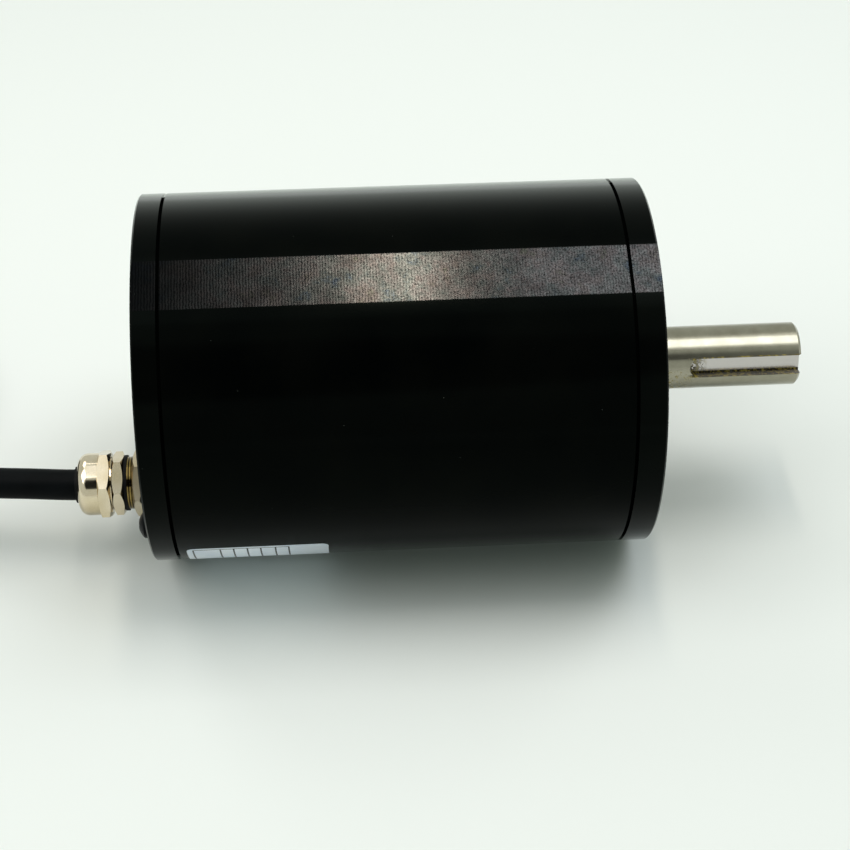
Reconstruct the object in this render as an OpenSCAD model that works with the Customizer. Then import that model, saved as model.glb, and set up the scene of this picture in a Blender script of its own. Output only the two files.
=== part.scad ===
// Brushless DC motor: a round housing of one tube and two screwed end caps, a
// keyed output shaft on two ball bearings, and a flying lead that leaves the
// rear cap through a cable gland.
// Origin: centre of the front mounting face. +X points out along the shaft and
// +Z up. The motor lies on its side, on the plane one body radius below.
// Angles round the axis start at +Y and turn toward +Z.

/* [Housing] */
// Outside diameter of the housing
body_d = 110; // [106:0.5:130]
// Length over both end caps
body_len = 147.5; // [130:0.5:220]
// Wall of the tube between the caps over the radius of the housing
wall_share = 0.182; // [0.165:0.001:0.205]
// Width of the front cap's rim
front_rim = 9; // [8:0.5:12]
// Width of the rear cap's rim
rear_rim = 8; // [7:0.5:10]
// How far each cap plugs into the tube
spigot_len = 5; // [4:0.5:6]
// Width of the groove at each seam
seam_w = 1; // [0.6:0.1:1.6]
// Depth of the groove at each seam
seam_depth = 1.2; // [0.6:0.1:2]
// Bevel round the outer edge of each cap
rim_bevel = 0.5; // [0.2:0.1:1]
// Width of the flat milled along the housing
flat_w = 15.3; // [8:0.1:24]
// Place of the flat round the axis
flat_angle = 112.35; // [90:0.05:150]

/* [Front face] */
// Distance of the raised centring ring from the outside of the housing
pilot_inset = 25; // [22:0.5:27]
// Height of the raised centring ring
pilot_h = 3; // [2:0.5:4]
// Distance of the mounting holes from the outside of the housing
mount_inset = 16; // [15:0.5:18]
// Number of mounting holes
mount_count = 4; // [2:1:6]
// Core diameter of the mounting threads
mount_core_d = 5; // [4.2:0.1:5.5]
// Depth of the mounting holes
mount_depth = 11; // [6:0.5:11.5]

/* [Cap screws] */
// Distance of the cap screws from the outside of the housing
screw_inset = 7; // [6.5:0.25:7.5]
// Number of screws in each cap
screw_count = 4; // [3:1:8]
// Nominal diameter of the screws
screw_d = 4; // [3:0.5:4]
// Thread engaged in the tube
screw_grip = 9; // [6:0.5:12]
// Head diameter of the cap screws
cap_head_d = 7; // [5.5:0.5:7]
// Head height of the cap screws
cap_head_h = 4; // [3:0.5:4.5]
// Key size of the cap screws and of the earth screw
screw_key = 3; // [2:0.5:3]
// Place of the earth screw round the axis, on the rear cap
earth_angle = 202.35; // [195:0.05:210]
// Head diameter of the earth screw
earth_head_d = 8; // [6:0.5:8]
// Head height of the earth screw
earth_head_h = 3.1; // [2.2:0.1:3.5]

/* [Shaft] */
// Diameter of the output end
shaft_d = 19; // [14:0.5:19.5]
// Length of the output end past the mounting face
shaft_len = 49; // [40:1:70]
// Bevel on the end of the shaft
shaft_bevel = 0.8; // [0.4:0.1:1.5]
// Width of the keyway
key_w = 6; // [4:0.5:7]
// Depth of the keyway
key_depth = 3.5; // [2:0.5:4]
// Length of the keyway from the end of the shaft
key_len = 34; // [20:1:36]
// Place of the keyway round the axis at rest
key_angle = 163; // [0:1:359]
// Diameter of the centre hole in the end of the shaft
centre_d = 5; // [3:0.5:6]
// Depth of the centre hole
centre_depth = 12; // [8:1:18]

/* [Bearings] */
// Bore of the front bearing
front_bore = 20; // [20:0.5:21]
// Radial height of the front bearing, from its bore to its outside
front_section = 13.5; // [12.5:0.25:14]
// Width of the front bearing
front_w = 14; // [12:0.5:15]
// Bore of the rear bearing
rear_bore = 17; // [15:0.5:18]
// Radial height of the rear bearing, from its bore to its outside
rear_section = 11.5; // [10.5:0.25:12]
// Width of the rear bearing
rear_w = 12; // [11:0.5:13]
// Balls in each bearing
ball_count = 8; // [6:1:8]
// Outside diameter of the shaft seal
seal_od = 35; // [32:0.5:38]
// Width of the shaft seal
seal_w = 7; // [5:0.5:8]

/* [Stator and rotor] */
// Room for the end turns between the stack and each end of the tube
end_room = 35; // [32:1:40]
// Bore of the stator over the bore of the tube
bore_share = 0.555; // [0.53:0.005:0.58]
// Number of stator teeth
tooth_count = 12; // [9:3:12]
// Width of a stator tooth over the radius of the tube's bore
tooth_w_share = 0.16; // [0.135:0.005:0.175]
// Radial height of a stator tooth over the radius of the tube's bore
tooth_share = 0.29; // [0.25:0.005:0.31]
// Gap between the rotor and the stator
air_gap = 0.6; // [0.4:0.1:1]
// Number of magnets
magnet_count = 8; // [4:2:10]
// Thickness of the magnets over the radius of the tube's bore
magnet_share = 0.08; // [0.055:0.005:0.1]
// Thickness of the sleeve over the magnets
sleeve_t = 0.5; // [0.3:0.1:0.8]

/* [Cable gland] */
// Distance of the gland from the axis
gland_r = 32; // [32:0.5:34]
// Place of the gland round the axis
gland_angle = 238; // [225:1:250]
// Nominal diameter of the gland thread
gland_d = 16; // [14:0.5:16]
// Height of the pad that the gland stands on
pad_h = 3.6; // [2:0.1:5]
// Width across the flats of the locknut
locknut_af = 18; // [17:0.5:20]
// Thickness of the locknut
locknut_h = 3; // [2:0.1:4]
// Thread that shows between the locknut and the sealing ring
thread_show = 1.7; // [1:0.1:4]
// Thickness of the sealing ring under the gland body
gasket_h = 0.9; // [0.6:0.1:1.5]
// Width across the flats of the gland body
gland_af = 17; // [16.5:0.5:18]
// Height of the hexagon of the gland body
gland_hex_h = 3.7; // [3:0.1:6]
// Width across the flats of the dome nut
nut_af = 19; // [18.5:0.5:20]
// Height of the hexagon of the dome nut
nut_hex_h = 4; // [3:0.1:6]
// Height of the dome above that hexagon
nut_dome_h = 6.1; // [5:0.1:8]

/* [Cable] */
// Outside diameter of the cable
cable_d = 9.4; // [8:0.1:9.6]
// Turns in each layer of the coil
coil_turns = 1.25; // [1.25:1:3.25]
// Radius of the coil where the cable runs into it
coil_r = 56; // [52:1:64]
// Length of the stripped cores at the free end
core_len = 46; // [40:1:90]
// Diameter of the three power cores
power_core_d = 2.6; // [2:0.1:2.6]
// Diameter of the five signal cores
signal_core_d = 1.3; // [1:0.1:1.3]

/* [Hidden] */
$fn = 96;
fit = 0.05;              // radial play of pieces that seat in one another
over = 1;                // overrun of every cut

// Housing
body_r = body_d / 2;
tube_r = body_r * (1 - wall_share);          // bore of the tube
screw_r = body_r - screw_inset;              // circle of the cap screws
pilot_r = body_r - pilot_inset;
mount_r = body_r - mount_inset;
front_od = front_bore + 2 * front_section;
rear_od = rear_bore + 2 * rear_section;
flat_r = sqrt(body_r ^ 2 - (flat_w / 2) ^ 2); // axis to the milled flat
floor_z = -body_r;
tube_x1 = -front_rim;                        // front end of the tube
tube_x0 = -body_len + rear_rim;              // rear end of the tube
spigot_r = tube_r - fit;
plate_x = tube_x1 - spigot_len;              // inner face of the front cap
groove_depth = 1.5;                          // sealing groove round each spigot
groove_w = 2;
groove_lip = 1.2;                            // spigot left in front of the groove
edge_bevel = 0.5;                            // small bevel on turned edges

// Front bearing seat, from the front
seal_x = pilot_h - seal_w;                   // floor of the seal's pocket
cap_shoulder = 2.5;                          // wall between the seal and bearing
front_x1 = seal_x - cap_shoulder;            // outer face of the front bearing
front_x0 = front_x1 - front_w;               // inner face of the front bearing
shoulder_lip = 4;                            // how far that wall covers the ring
circlip_t = 1.75;
circlip_h = 3.6;                             // radial height of the circlip
circlip_depth = 1.25;                        // depth of its groove
circlip_mouth_share = 0.33;                  // its opening over its radius
hub_lip = 4;                                 // hub past the front bearing
hub_wall = 5;
hub_x = front_x0 - hub_lip;

// Rear bearing seat
rear_wall = 5.5;                             // wall behind the rear bearing
wave_h = 1.6;                                // height of the pressed wave washer
wave_t = 0.5;                                // its sheet
rear_x0 = -body_len + rear_wall + wave_h;    // outer face of the rear bearing
rear_x1 = rear_x0 + rear_w;                  // inner face of the rear bearing
rear_hub_wall = 3.8;
wall_relief = 2;                             // pit behind the end of the shaft

// Bearings: shares of the ball's diameter and of the ring's section
ball_share = 0.588;                          // ball over half of od minus bore
land_share = 0.3;                            // pitch circle to each ring's land
ball_gap = 0.12;                             // play between ball and track
shield_t = 0.5;
shield_inset = 0.7;
shield_gap = 0.3;
cage_t = 1.6;
cage_rim = 0.6;                              // cage past the ball, each side
ring_bevel = 0.6;

// Screws and holes
hole_gap = 0.25;                             // play round a screw in its hole
key_share = 0.5;                             // depth of a hex key in its head
phase_share = 0.6;                           // rear screws past the earth screw
dome_share = 0.55;                           // domed part of a domed head
thread_bevel = 0.4;
earth_grip = 6;                              // thread of the earth screw in the cap

// Shaft
step_gap = 1;                                // journal past the seal's face
collar_w = 3;
seat_w = 1;
rear_collar_w = 2.5;
collar_r = front_bore / 2 + collar_w;        // shoulder behind the front bearing
seat_r = front_bore / 2 + seat_w;            // seat of the rotor core
rear_collar_r = rear_bore / 2 + rear_collar_w; // shoulder before the rear bearing
seam_turn = 67.5;                            // from the keyway to the sweep's start
centre_mouth_share = 0.65;                   // mouth of the centre hole over its width
end_gap = 1.2;                               // shaft clear of the rear wall
shaft_x0 = -body_len + rear_wall + end_gap;

// Stator
stack_x1 = tube_x1 - end_room;
stack_x0 = tube_x0 + end_room;
stack_len = stack_x1 - stack_x0;
bore_r = tube_r * bore_share;
tooth_w = tube_r * tooth_w_share;
magnet_t = tube_r * magnet_share;
stator_r = tube_r - fit;
yoke_r = bore_r + tube_r * tooth_share;                   // bottom of the slots
shoe_h = 2.4;                                // foot of each tooth
slot_mouth = 2.4;
liner = 0.5;                                 // insulation round each tooth
plate_t = 1.5;                               // end insulator
upstand_h = 8;                               // wall that holds the end turns
upstand_t = 1.6;
turn_end = 5;                                // coil over the end of the stack
turn_gap = 0.3;
turn_root = bore_r + shoe_h + turn_gap;      // foot of a coil
// side of a coil in its slot, up to the middle of the slot
turn_t = turn_root * tan(180 / tooth_count) - tooth_w / 2 - liner - turn_gap;
turn_round_share = 0.33;                     // inner rounding of a coil over its side

// Rotor
rotor_over = 3;                              // rotor past each end of the stack
rotor_r = bore_r - air_gap;
magnet_r = rotor_r - sleeve_t - fit;         // outside of the magnets
core_r = magnet_r - magnet_t;
rotor_x0 = stack_x0 - rotor_over;
rotor_x1 = stack_x1 + rotor_over;
magnet_gap = 1;                              // between neighbouring magnets
end_ring_t = 2.5;

// Sensor board
board_t = 1.6;
board_inset = 3;                             // board inside the end insulator
post_d = 5;
post_count = 3;
post_h = 9.5;                                // posts that carry the board
board_x1 = stack_x0 - plate_t - post_h;      // front face of the board
board_hole_gap = 3;
board_hole_r = collar_r + board_hole_gap;
post_r = (yoke_r + tube_r) / 2;
sensor_w = 4;
sensor_h = 3;
sensor_t = 1.6;
sensor_count = 3;
sensor_step = 30;                            // degrees between sensors
board_screw_d = 2;
board_head_d = 3.8;
board_head_h = 1.4;

// Gland, measured outward from the rear face
gland_y = gland_r * cos(gland_angle);
gland_z = gland_r * sin(gland_angle);
pad_ring = 2.5;                              // pad past the locknut's flats
pad_r = locknut_af / 2 + pad_ring;
thread_r = gland_d / 2;
locknut_s = pad_h + locknut_h;
gasket_s = locknut_s + thread_show;
hex_s = gasket_s + gasket_h;                 // underside of the gland body
nut_gap = 0.25;                              // slit under the dome nut
nut_s = hex_s + gland_hex_h + nut_gap;       // underside of the dome nut
dome_s = nut_s + nut_hex_h;
mouth_s = dome_s + nut_dome_h;               // mouth of the dome nut
hex_bevel = 0.9;                             // bevel over a hexagon's corners
face_share = 0.95;                           // end face of a hexagon over its flats
nut_wall = 1.9;
dome_round = 3;                              // rounding of the dome's shoulder
seal_room = 1.3;                             // between the cable and the body's bore
body_bore_r = cable_d / 2 + seal_room;
sleeve_r = nut_af / 2 - nut_wall - fit;      // sleeve that the nut screws onto
sleeve_past = 0.6;                           // sleeve past the nut's hexagon
sleeve_end_s = dome_s + sleeve_past;
thread_in = 5;                               // thread inside the rear wall
claw_slots = 8;
claw_slit = 0.8;
lip_w = 0.8;
lip_r = cable_d / 2 + lip_w;                 // rubber lip round the cable
lip_h = 0.9;
nut_angle = 145;                             // corner of the dome nut
hex_angle = 157;                             // corner of the gland body
locknut_angle = 170;

// Cable: the route starts at the gland's mouth and ends where the coil starts
cable_in = 6;                                // cable inside the rear cap
mouth = [-body_len - mouth_s - lip_h, gland_y, gland_z];
layer_gap = 0.8;                             // between neighbouring turns
layer_pitch = cable_d + layer_gap;
coil_z = floor_z + cable_d / 2 + layer_pitch; // upper layer
run_x = 91;
run_y = 3;
run_end = [mouth[0] - run_x, mouth[1] + run_y, coil_z];
run_steps = [[-18, 2, -0.3], [-36, 5.4, -2.6], [-54, 6.6, -6.6], [-73, 4.6, -11]];
run_path = concat([mouth], [for (p = run_steps) mouth + p], [run_end]);
run_sides = 12;
coil_sides = 6;
loop_rings = 24;
climb_turns = 0.5;                           // half turn from layer to layer
core_sides = 8;
core_rings = 6;
tip_len = 5;
tip_share = 0.6;                             // stripped end over its core
power_ring_share = 0.255;                    // circle of the power cores in the cable
signal_ring_share = 0.36;                    // circle of the signal cores
power_angles = [90, 210, 330];
signal_angles = [18, 42, 138, 162, 270];
fan_step = 5;                                // between the laid-out cores

// Modules: helpers

// Turns a shape drawn in Y and Z, and raised along local Z, to stand along X.
module along_x() { rotate([90, 0, 90]) children(); }

// Moves a shape out to radius r at angle a round the axis.
module at_angle(a, r) { rotate([a, 0, 0]) translate([0, r, 0]) children(); }

// A disc from station x0 to x1.
module disc(x0, x1, r) { translate([x0, 0, 0]) along_x() cylinder(h = x1 - x0, r = r); }

module ring(x0, x1, r_out, r_in) {
    difference() {
        disc(x0, x1, r_out);
        disc(x0 - over, x1 + over, r_in);
    }
}

// A turned body: points are [radius, station].
module turned(points) { along_x() rotate_extrude() polygon(points); }

// The flat milled along tube and caps in one cut.
module flat_cut() {
    rotate([flat_angle, 0, 0]) translate([-body_len - over, flat_r, -body_r])
        cube([body_len + 2 * over, body_r, body_d]);
}

// The front cap's screws start under the flat. The rear cap's screws lie on both
// sides of the earth screw, clear of it and of the gland.
module at_front_screws() {
    for (k = [0 : screw_count - 1])
        at_angle(flat_angle + 360 * k / screw_count, screw_r) children();
}
module at_rear_screws() {
    for (k = [0 : screw_count - 1])
        at_angle(earth_angle + 360 * (k + phase_share) / screw_count, screw_r) children();
}

// Frame of the gland: local Z leaves the rear face.
module at_gland() {
    translate([-body_len, gland_y, gland_z]) rotate([0, -90, 0]) children();
}

// Hexagon with its corners bevelled at both ends, one corner at angle a.
module bevelled_hex(af, h, a) {
    corner = af / sqrt(3);
    face = af / 2 * face_share;
    intersection() {
        rotate([0, 0, 90 - a]) cylinder(h = h, r = corner, $fn = 6);
        rotate_extrude() polygon([
            [0, 0], [face, 0], [face + (corner - face) * h / 2 / hex_bevel, h / 2],
            [face, h], [0, h]
        ]);
    }
}

// Modules: housing

module housing_tube() color("#141614") difference() {
    ring(tube_x0, tube_x1, body_r, tube_r);
    flat_cut();
    at_front_screws()
        disc(tube_x1 - screw_grip - 2 * over, tube_x1 + over, screw_d / 2 + fit);
    at_rear_screws()
        disc(tube_x0 - over, tube_x0 + screw_grip + 2 * over, screw_d / 2 + fit);
}

// Outline of a spigot with its sealing groove, from station x inward by dir.
function spigot(x, dir) = [
    [spigot_r, x],
    [spigot_r, x + dir * groove_lip],
    [spigot_r - groove_depth, x + dir * groove_lip],
    [spigot_r - groove_depth, x + dir * (groove_lip + groove_w)],
    [spigot_r, x + dir * (groove_lip + groove_w)],
    [spigot_r, x + dir * spigot_len]
];

module front_cap() color("#121412") difference() {
    turned(concat([
        [seal_od / 2 + fit, pilot_h],
        [pilot_r - edge_bevel, pilot_h], [pilot_r, pilot_h - edge_bevel],
        [pilot_r, 0],
        [body_r - rim_bevel, 0], [body_r, -rim_bevel],
        [body_r, tube_x1 + seam_w], [body_r - seam_depth, tube_x1 + seam_w],
        [body_r - seam_depth, tube_x1]
    ], spigot(tube_x1, -1), [
        [front_od / 2 + hub_wall, plate_x], [front_od / 2 + hub_wall, hub_x],
        [front_od / 2 + fit, hub_x],
        [front_od / 2 + fit, front_x0 - circlip_t - fit],
        [front_od / 2 + circlip_depth + fit, front_x0 - circlip_t - fit],
        [front_od / 2 + circlip_depth + fit, front_x0], [front_od / 2 + fit, front_x0],
        [front_od / 2 + fit, front_x1],
        [front_od / 2 - shoulder_lip, front_x1], [front_od / 2 - shoulder_lip, seal_x],
        [seal_od / 2 + fit, seal_x]
    ]));
    flat_cut();
    at_front_screws() screw_hole(front_rim);
    for (k = [0 : mount_count - 1])
        at_angle(flat_angle + 360 * (k + 0.5) / mount_count, mount_r) {
            disc(-mount_depth, over, mount_core_d / 2);
            translate([-thread_bevel, 0, 0]) along_x()
                cylinder(h = thread_bevel + fit, r1 = mount_core_d / 2,
                         r2 = mount_core_d / 2 + thread_bevel + fit);
        }
}

module rear_cap() color("#121412") difference() {
    union() {
        turned(concat([
            [0, -body_len], [body_r - rim_bevel, -body_len],
            [body_r, -body_len + rim_bevel],
            [body_r, tube_x0 - seam_w], [body_r - seam_depth, tube_x0 - seam_w],
            [body_r - seam_depth, tube_x0]
        ], spigot(tube_x0, 1), [
            [spigot_r - groove_depth - edge_bevel - upstand_t, tube_x0 + spigot_len],
            [spigot_r - groove_depth - edge_bevel - upstand_t, tube_x0],
            [rear_od / 2 + rear_hub_wall, tube_x0],
            [rear_od / 2 + rear_hub_wall, rear_x1],
            [rear_od / 2 + fit, rear_x1],
            [rear_od / 2 + fit, -body_len + rear_wall],
            [rear_bore / 2 + fit, -body_len + rear_wall],
            [rear_bore / 2 + fit, -body_len + rear_wall - wall_relief],
            [0, -body_len + rear_wall - wall_relief]
        ]));
        at_gland() cylinder(h = pad_h, r = pad_r);
    }
    flat_cut();
    at_rear_screws() from_rear() screw_hole(rear_rim);
    at_angle(earth_angle, screw_r)
        disc(-body_len - over, -body_len + earth_grip + over / 2, screw_d / 2 + fit);
    at_gland() translate([0, 0, -rear_rim - cable_in])
        cylinder(h = rear_rim + cable_in + pad_h + over, r = thread_r + fit);
}

// Turns what is drawn for the front face round to the rear face.
module from_rear() { translate([-body_len, 0, 0]) mirror([1, 0, 0]) children(); }

module hex_key(x0, x1) {
    translate([x0, 0, 0]) along_x() cylinder(h = x1 - x0, r = screw_key / sqrt(3), $fn = 6);
}

// Hole through a cap's rim, with room for the screw's head below its face.
module screw_hole(rim) {
    disc(-rim - over, over, screw_d / 2 + hole_gap);
    disc(-cap_head_h - hole_gap, over, cap_head_d / 2 + hole_gap);
}

module cap_screw(rim) difference() {
    seat = -cap_head_h - hole_gap;
    union() {
        disc(-rim - screw_grip, seat + fit, screw_d / 2);
        disc(seat, seat + cap_head_h - thread_bevel, cap_head_d / 2);
        translate([seat + cap_head_h - thread_bevel, 0, 0]) along_x()
            cylinder(h = thread_bevel, r1 = cap_head_d / 2, r2 = cap_head_d / 2 - thread_bevel);
    }
    hex_key(seat + cap_head_h * key_share, seat + cap_head_h + over);
}

module front_cap_screws() color("#1b1c1d") at_front_screws() cap_screw(front_rim);
module rear_cap_screws() color("#1b1c1d") at_rear_screws() from_rear() cap_screw(rear_rim);

// The one domed screw that stands on the rear face.
module earth_screw() color("#1b1c1d") at_angle(earth_angle, screw_r) difference() {
    dome_h = earth_head_h * dome_share;
    dome_r = ((earth_head_d / 2) ^ 2 + dome_h ^ 2) / (2 * dome_h);
    union() {
        disc(-body_len - fit, -body_len + earth_grip, screw_d / 2);
        intersection() {
            disc(-body_len - earth_head_h, -body_len, earth_head_d / 2);
            translate([-body_len - earth_head_h + dome_r, 0, 0]) sphere(r = dome_r);
        }
    }
    hex_key(-body_len - earth_head_h - over, -body_len - earth_head_h * key_share);
}

// Sealing ring in the groove round a spigot, centred at station x.
module o_ring(x) {
    translate([x, 0, 0]) along_x() rotate_extrude()
        translate([spigot_r - groove_depth / 2, 0]) circle(r = groove_depth / 2 - fit);
}

module front_cap_o_ring() color("#0c0c0c") o_ring(tube_x1 - groove_lip - groove_w / 2);
module rear_cap_o_ring() color("#0c0c0c") o_ring(tube_x0 + groove_lip + groove_w / 2);

// Rubber-covered ring with a lip that runs on the journal.
module shaft_seal() color("#181818") {
    journal = front_bore / 2 + fit;
    wall = 1.6;
    lip = 2.4;
    turned([
        [seal_od / 2, seal_x], [seal_od / 2, pilot_h - edge_bevel],
        [seal_od / 2 - edge_bevel, pilot_h - fit], [journal, pilot_h - fit],
        [journal, pilot_h - lip], [journal + wall, pilot_h - lip],
        [seal_od / 2 - wall, pilot_h - wall], [seal_od / 2 - wall, seal_x]
    ]);
}

// Modules: bearings

function ball_d(bore, od) = ball_share * (od - bore) / 2;
function pitch_r(bore, od) = (bore + od) / 4;

// Outer ring between stations x0 and x1, with its ball track.
module outer_race(x0, x1, bore, od) {
    b = ball_d(bore, od);
    land = pitch_r(bore, od) + land_share * b;
    difference() {
        turned([
            [land, x0], [od / 2 - ring_bevel, x0], [od / 2, x0 + ring_bevel],
            [od / 2, x1 - ring_bevel], [od / 2 - ring_bevel, x1], [land, x1]
        ]);
        ball_track((x0 + x1) / 2, bore, od);
    }
}

module inner_race(x0, x1, bore, od) {
    land = pitch_r(bore, od) - land_share * ball_d(bore, od);
    difference() {
        turned([
            [bore / 2 + fit, x0 + ring_bevel], [bore / 2 + fit + ring_bevel, x0],
            [land, x0], [land, x1], [bore / 2 + fit + ring_bevel, x1],
            [bore / 2 + fit, x1 - ring_bevel]
        ]);
        ball_track((x0 + x1) / 2, bore, od);
    }
}

module ball_track(x, bore, od) {
    translate([x, 0, 0]) along_x() rotate_extrude()
        translate([pitch_r(bore, od), 0]) circle(r = ball_d(bore, od) / 2 + ball_gap);
}

module shields(x0, x1, bore, od) {
    b = ball_d(bore, od);
    outer = pitch_r(bore, od) + land_share * b - fit;
    inner = pitch_r(bore, od) - land_share * b + shield_gap;
    ring(x0 + shield_inset, x0 + shield_inset + shield_t, outer, inner);
    ring(x1 - shield_inset - shield_t, x1 - shield_inset, outer, inner);
}

module at_balls(x, bore, od) {
    for (k = [0 : ball_count - 1])
        translate([x, 0, 0]) at_angle(360 * k / ball_count, pitch_r(bore, od)) children();
}

module balls(x, bore, od) { at_balls(x, bore, od) sphere(d = ball_d(bore, od)); }

// Cage: a ring between the lands with a pocket round each ball.
module cage(x, bore, od) {
    b = ball_d(bore, od);
    half = b / 2 + cage_rim;
    difference() {
        ring(x - half, x + half, pitch_r(bore, od) + cage_t / 2,
             pitch_r(bore, od) - cage_t / 2);
        at_balls(x, bore, od) rotate([-90, 0, 0])
            cylinder(h = b, r = b / 2 + ball_gap, center = true);
    }
}

module front_bearing_outer() color("#b4b6b8") outer_race(front_x0, front_x1, front_bore, front_od);
module front_bearing_inner() color("#b4b6b8") inner_race(front_x0, front_x1, front_bore, front_od);
module front_bearing_shields() color("#8f9294") shields(front_x0, front_x1, front_bore, front_od);
module front_bearing_cage() color("#a39c86") cage((front_x0 + front_x1) / 2, front_bore, front_od);
module front_bearing_balls() color("#d5d8da") balls((front_x0 + front_x1) / 2, front_bore, front_od);
module rear_bearing_outer() color("#b4b6b8") outer_race(rear_x0, rear_x1, rear_bore, rear_od);
module rear_bearing_inner() color("#b4b6b8") inner_race(rear_x0, rear_x1, rear_bore, rear_od);
module rear_bearing_shields() color("#8f9294") shields(rear_x0, rear_x1, rear_bore, rear_od);
module rear_bearing_cage() color("#a39c86") cage((rear_x0 + rear_x1) / 2, rear_bore, rear_od);
module rear_bearing_balls() color("#d5d8da") balls((rear_x0 + rear_x1) / 2, rear_bore, rear_od);

// Snap ring behind the front bearing, open over an eighth of its turn.
module bearing_circlip() color("#3a3c3e") difference() {
    ring(front_x0 - circlip_t, front_x0, front_od / 2 + circlip_depth,
         front_od / 2 + circlip_depth - circlip_h);
    rotate([90, 0, 0]) rotate([0, 90, 0])
        linear_extrude(height = 2 * body_len, center = true)
            polygon([[0, 0], [front_od, -front_od * circlip_mouth_share],
                     [front_od, front_od * circlip_mouth_share]]);
}

// Wave washer that presses on the rear bearing's outer ring.
module wave_washer() color("#4a4c4e") {
    outer = rear_od / 2 - ring_bevel;
    inner = rear_od / 2 - circlip_h;
    steps = 48;
    waves = 3;
    swing = (wave_h - wave_t) / 2 - fit;
    mid = rear_x0 - wave_h / 2;
    rim = [for (k = [0 : steps - 1]) let (
            a = 360 * k / steps, x = mid + swing * sin(waves * a))
        for (c = [[inner, -wave_t / 2], [outer, -wave_t / 2],
                  [outer, wave_t / 2], [inner, wave_t / 2]])
            [x + c[1], c[0] * cos(a), c[0] * sin(a)]];
    polyhedron(points = rim, faces = [for (k = [0 : steps - 1], c = [0 : 3]) let (
            a = 4 * k + c, b = 4 * k + (c + 1) % 4, n = 4 * steps)
        for (t = [[a, (a + 4) % n, b], [b, (a + 4) % n, (b + 4) % n]]) t]);
}

// Modules: stator

// Half the angle of a tooth's foot, so that the slot mouths stay open.
function shoe_angle(r) = 180 / tooth_count - asin(slot_mouth / 2 / r);

// Section of the lamination: teeth with feet inside a ring of outside radius r.
module lamination(r, w, ring_in) {
    difference() {
        circle(r = r);
        circle(r = ring_in);
    }
    for (k = [0 : tooth_count - 1]) rotate(360 * k / tooth_count) {
        translate([bore_r + shoe_h / 2, -w / 2]) square([ring_in - bore_r, w]);
        intersection() {
            difference() {
                circle(r = bore_r + shoe_h);
                circle(r = bore_r);
            }
            polygon([[0, 0], for (s = [-1, 1])
                [body_r, s * body_r * tan(shoe_angle(bore_r))]]);
        }
    }
}

module stator_core() color("#6e7072")
    translate([stack_x0, 0, 0]) along_x() linear_extrude(height = stack_len)
        lamination(stator_r, tooth_w, yoke_r);

// Place of the sensor board's post k; the leads come in between two posts.
module at_post(k) {
    at_angle(gland_angle + 360 * (k + 0.5) / post_count, post_r) children();
}

// End insulators: the lamination's outline, a wall round the end turns, and at
// the rear the posts of the sensor board.
module stator_insulators() color("#d9d4c4") {
    for (x = [stack_x1, stack_x0 - plate_t]) translate([x, 0, 0]) along_x()
        linear_extrude(height = plate_t) lamination(stator_r - liner, tooth_w, yoke_r);
    ring(stack_x1 + plate_t, stack_x1 + plate_t + upstand_h, yoke_r + upstand_t + turn_gap,
         yoke_r + turn_gap);
    difference() {
        union() {
            ring(stack_x0 - plate_t - upstand_h, stack_x0 - plate_t,
                 yoke_r + upstand_t + turn_gap, yoke_r + turn_gap);
            for (k = [0 : post_count - 1])
                at_post(k)
                    disc(board_x1, stack_x0 - plate_t, post_d / 2);
        }
        for (k = [0 : post_count - 1])
            at_post(k)
                disc(board_x1 - over, board_x1 + post_h / 2, board_screw_d / 2 + fit);
    }
}

// Rectangle of half sizes a and b with corners rounded by r.
module rounded(a, b, r) {
    square([2 * a, 2 * (b - r)], center = true);
    square([2 * (a - r), 2 * b], center = true);
    for (x = [-1, 1], y = [-1, 1]) translate([x * (a - r), y * (b - r)]) circle(r = r);
}

// One coil round each tooth.
module windings() color("#a2582b") {
    in_a = tooth_w / 2 + liner;
    top = sqrt((yoke_r - turn_gap) ^ 2 - (in_a + turn_t) ^ 2);
    in_b = stack_len / 2 + plate_t + fit;
    round_in = turn_t * turn_round_share;
    for (k = [0 : tooth_count - 1])
        translate([(stack_x0 + stack_x1) / 2, 0, 0]) rotate([360 * k / tooth_count, 0, 0])
            translate([0, turn_root, 0]) rotate([-90, 0, 0]) rotate([0, 0, 90])
                linear_extrude(height = top - turn_root) difference() {
                    rounded(in_a + turn_t, in_b + turn_end, turn_t);
                    rounded(in_a, in_b, round_in);
                }
}

module sensor_board() color("#1d5a34") difference() {
    disc(board_x1 - board_t, board_x1, tube_r - board_inset);
    disc(board_x1 - board_t - over, board_x1 + over, board_hole_r);
    for (k = [0 : post_count - 1])
        at_post(k)
            disc(board_x1 - board_t - over, board_x1 + over, board_screw_d / 2 + fit);
}

module hall_sensors() color("#202224")
    for (k = [0 : sensor_count - 1])
        at_angle(180 + sensor_step * (k - 1), magnet_r - sensor_w / 2)
            translate([board_x1, -sensor_w / 2, -sensor_w / 2])
                cube([sensor_h, sensor_t, sensor_w]);

module board_screws() color("#c3c5c7")
    for (k = [0 : post_count - 1]) at_post(k) {
        disc(board_x1 - board_t, board_x1 + post_h / 2 - fit, board_screw_d / 2);
        disc(board_x1 - board_t - board_head_h, board_x1 - board_t, board_head_d / 2);
    }

// Modules: cable gland

module gland_locknut() color("#cfc6ae") at_gland() translate([0, 0, pad_h]) difference() {
    bevelled_hex(locknut_af, locknut_h, locknut_angle);
    translate([0, 0, -over]) cylinder(h = locknut_h + 2 * over, r = thread_r + fit);
}

module gland_gasket() color("#0c0c0c") at_gland() translate([0, 0, gasket_s]) difference() {
    cylinder(h = gasket_h, r = gland_af / 2 - fit);
    translate([0, 0, -over]) cylinder(h = gasket_h + 2 * over, r = thread_r + fit);
}

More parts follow.
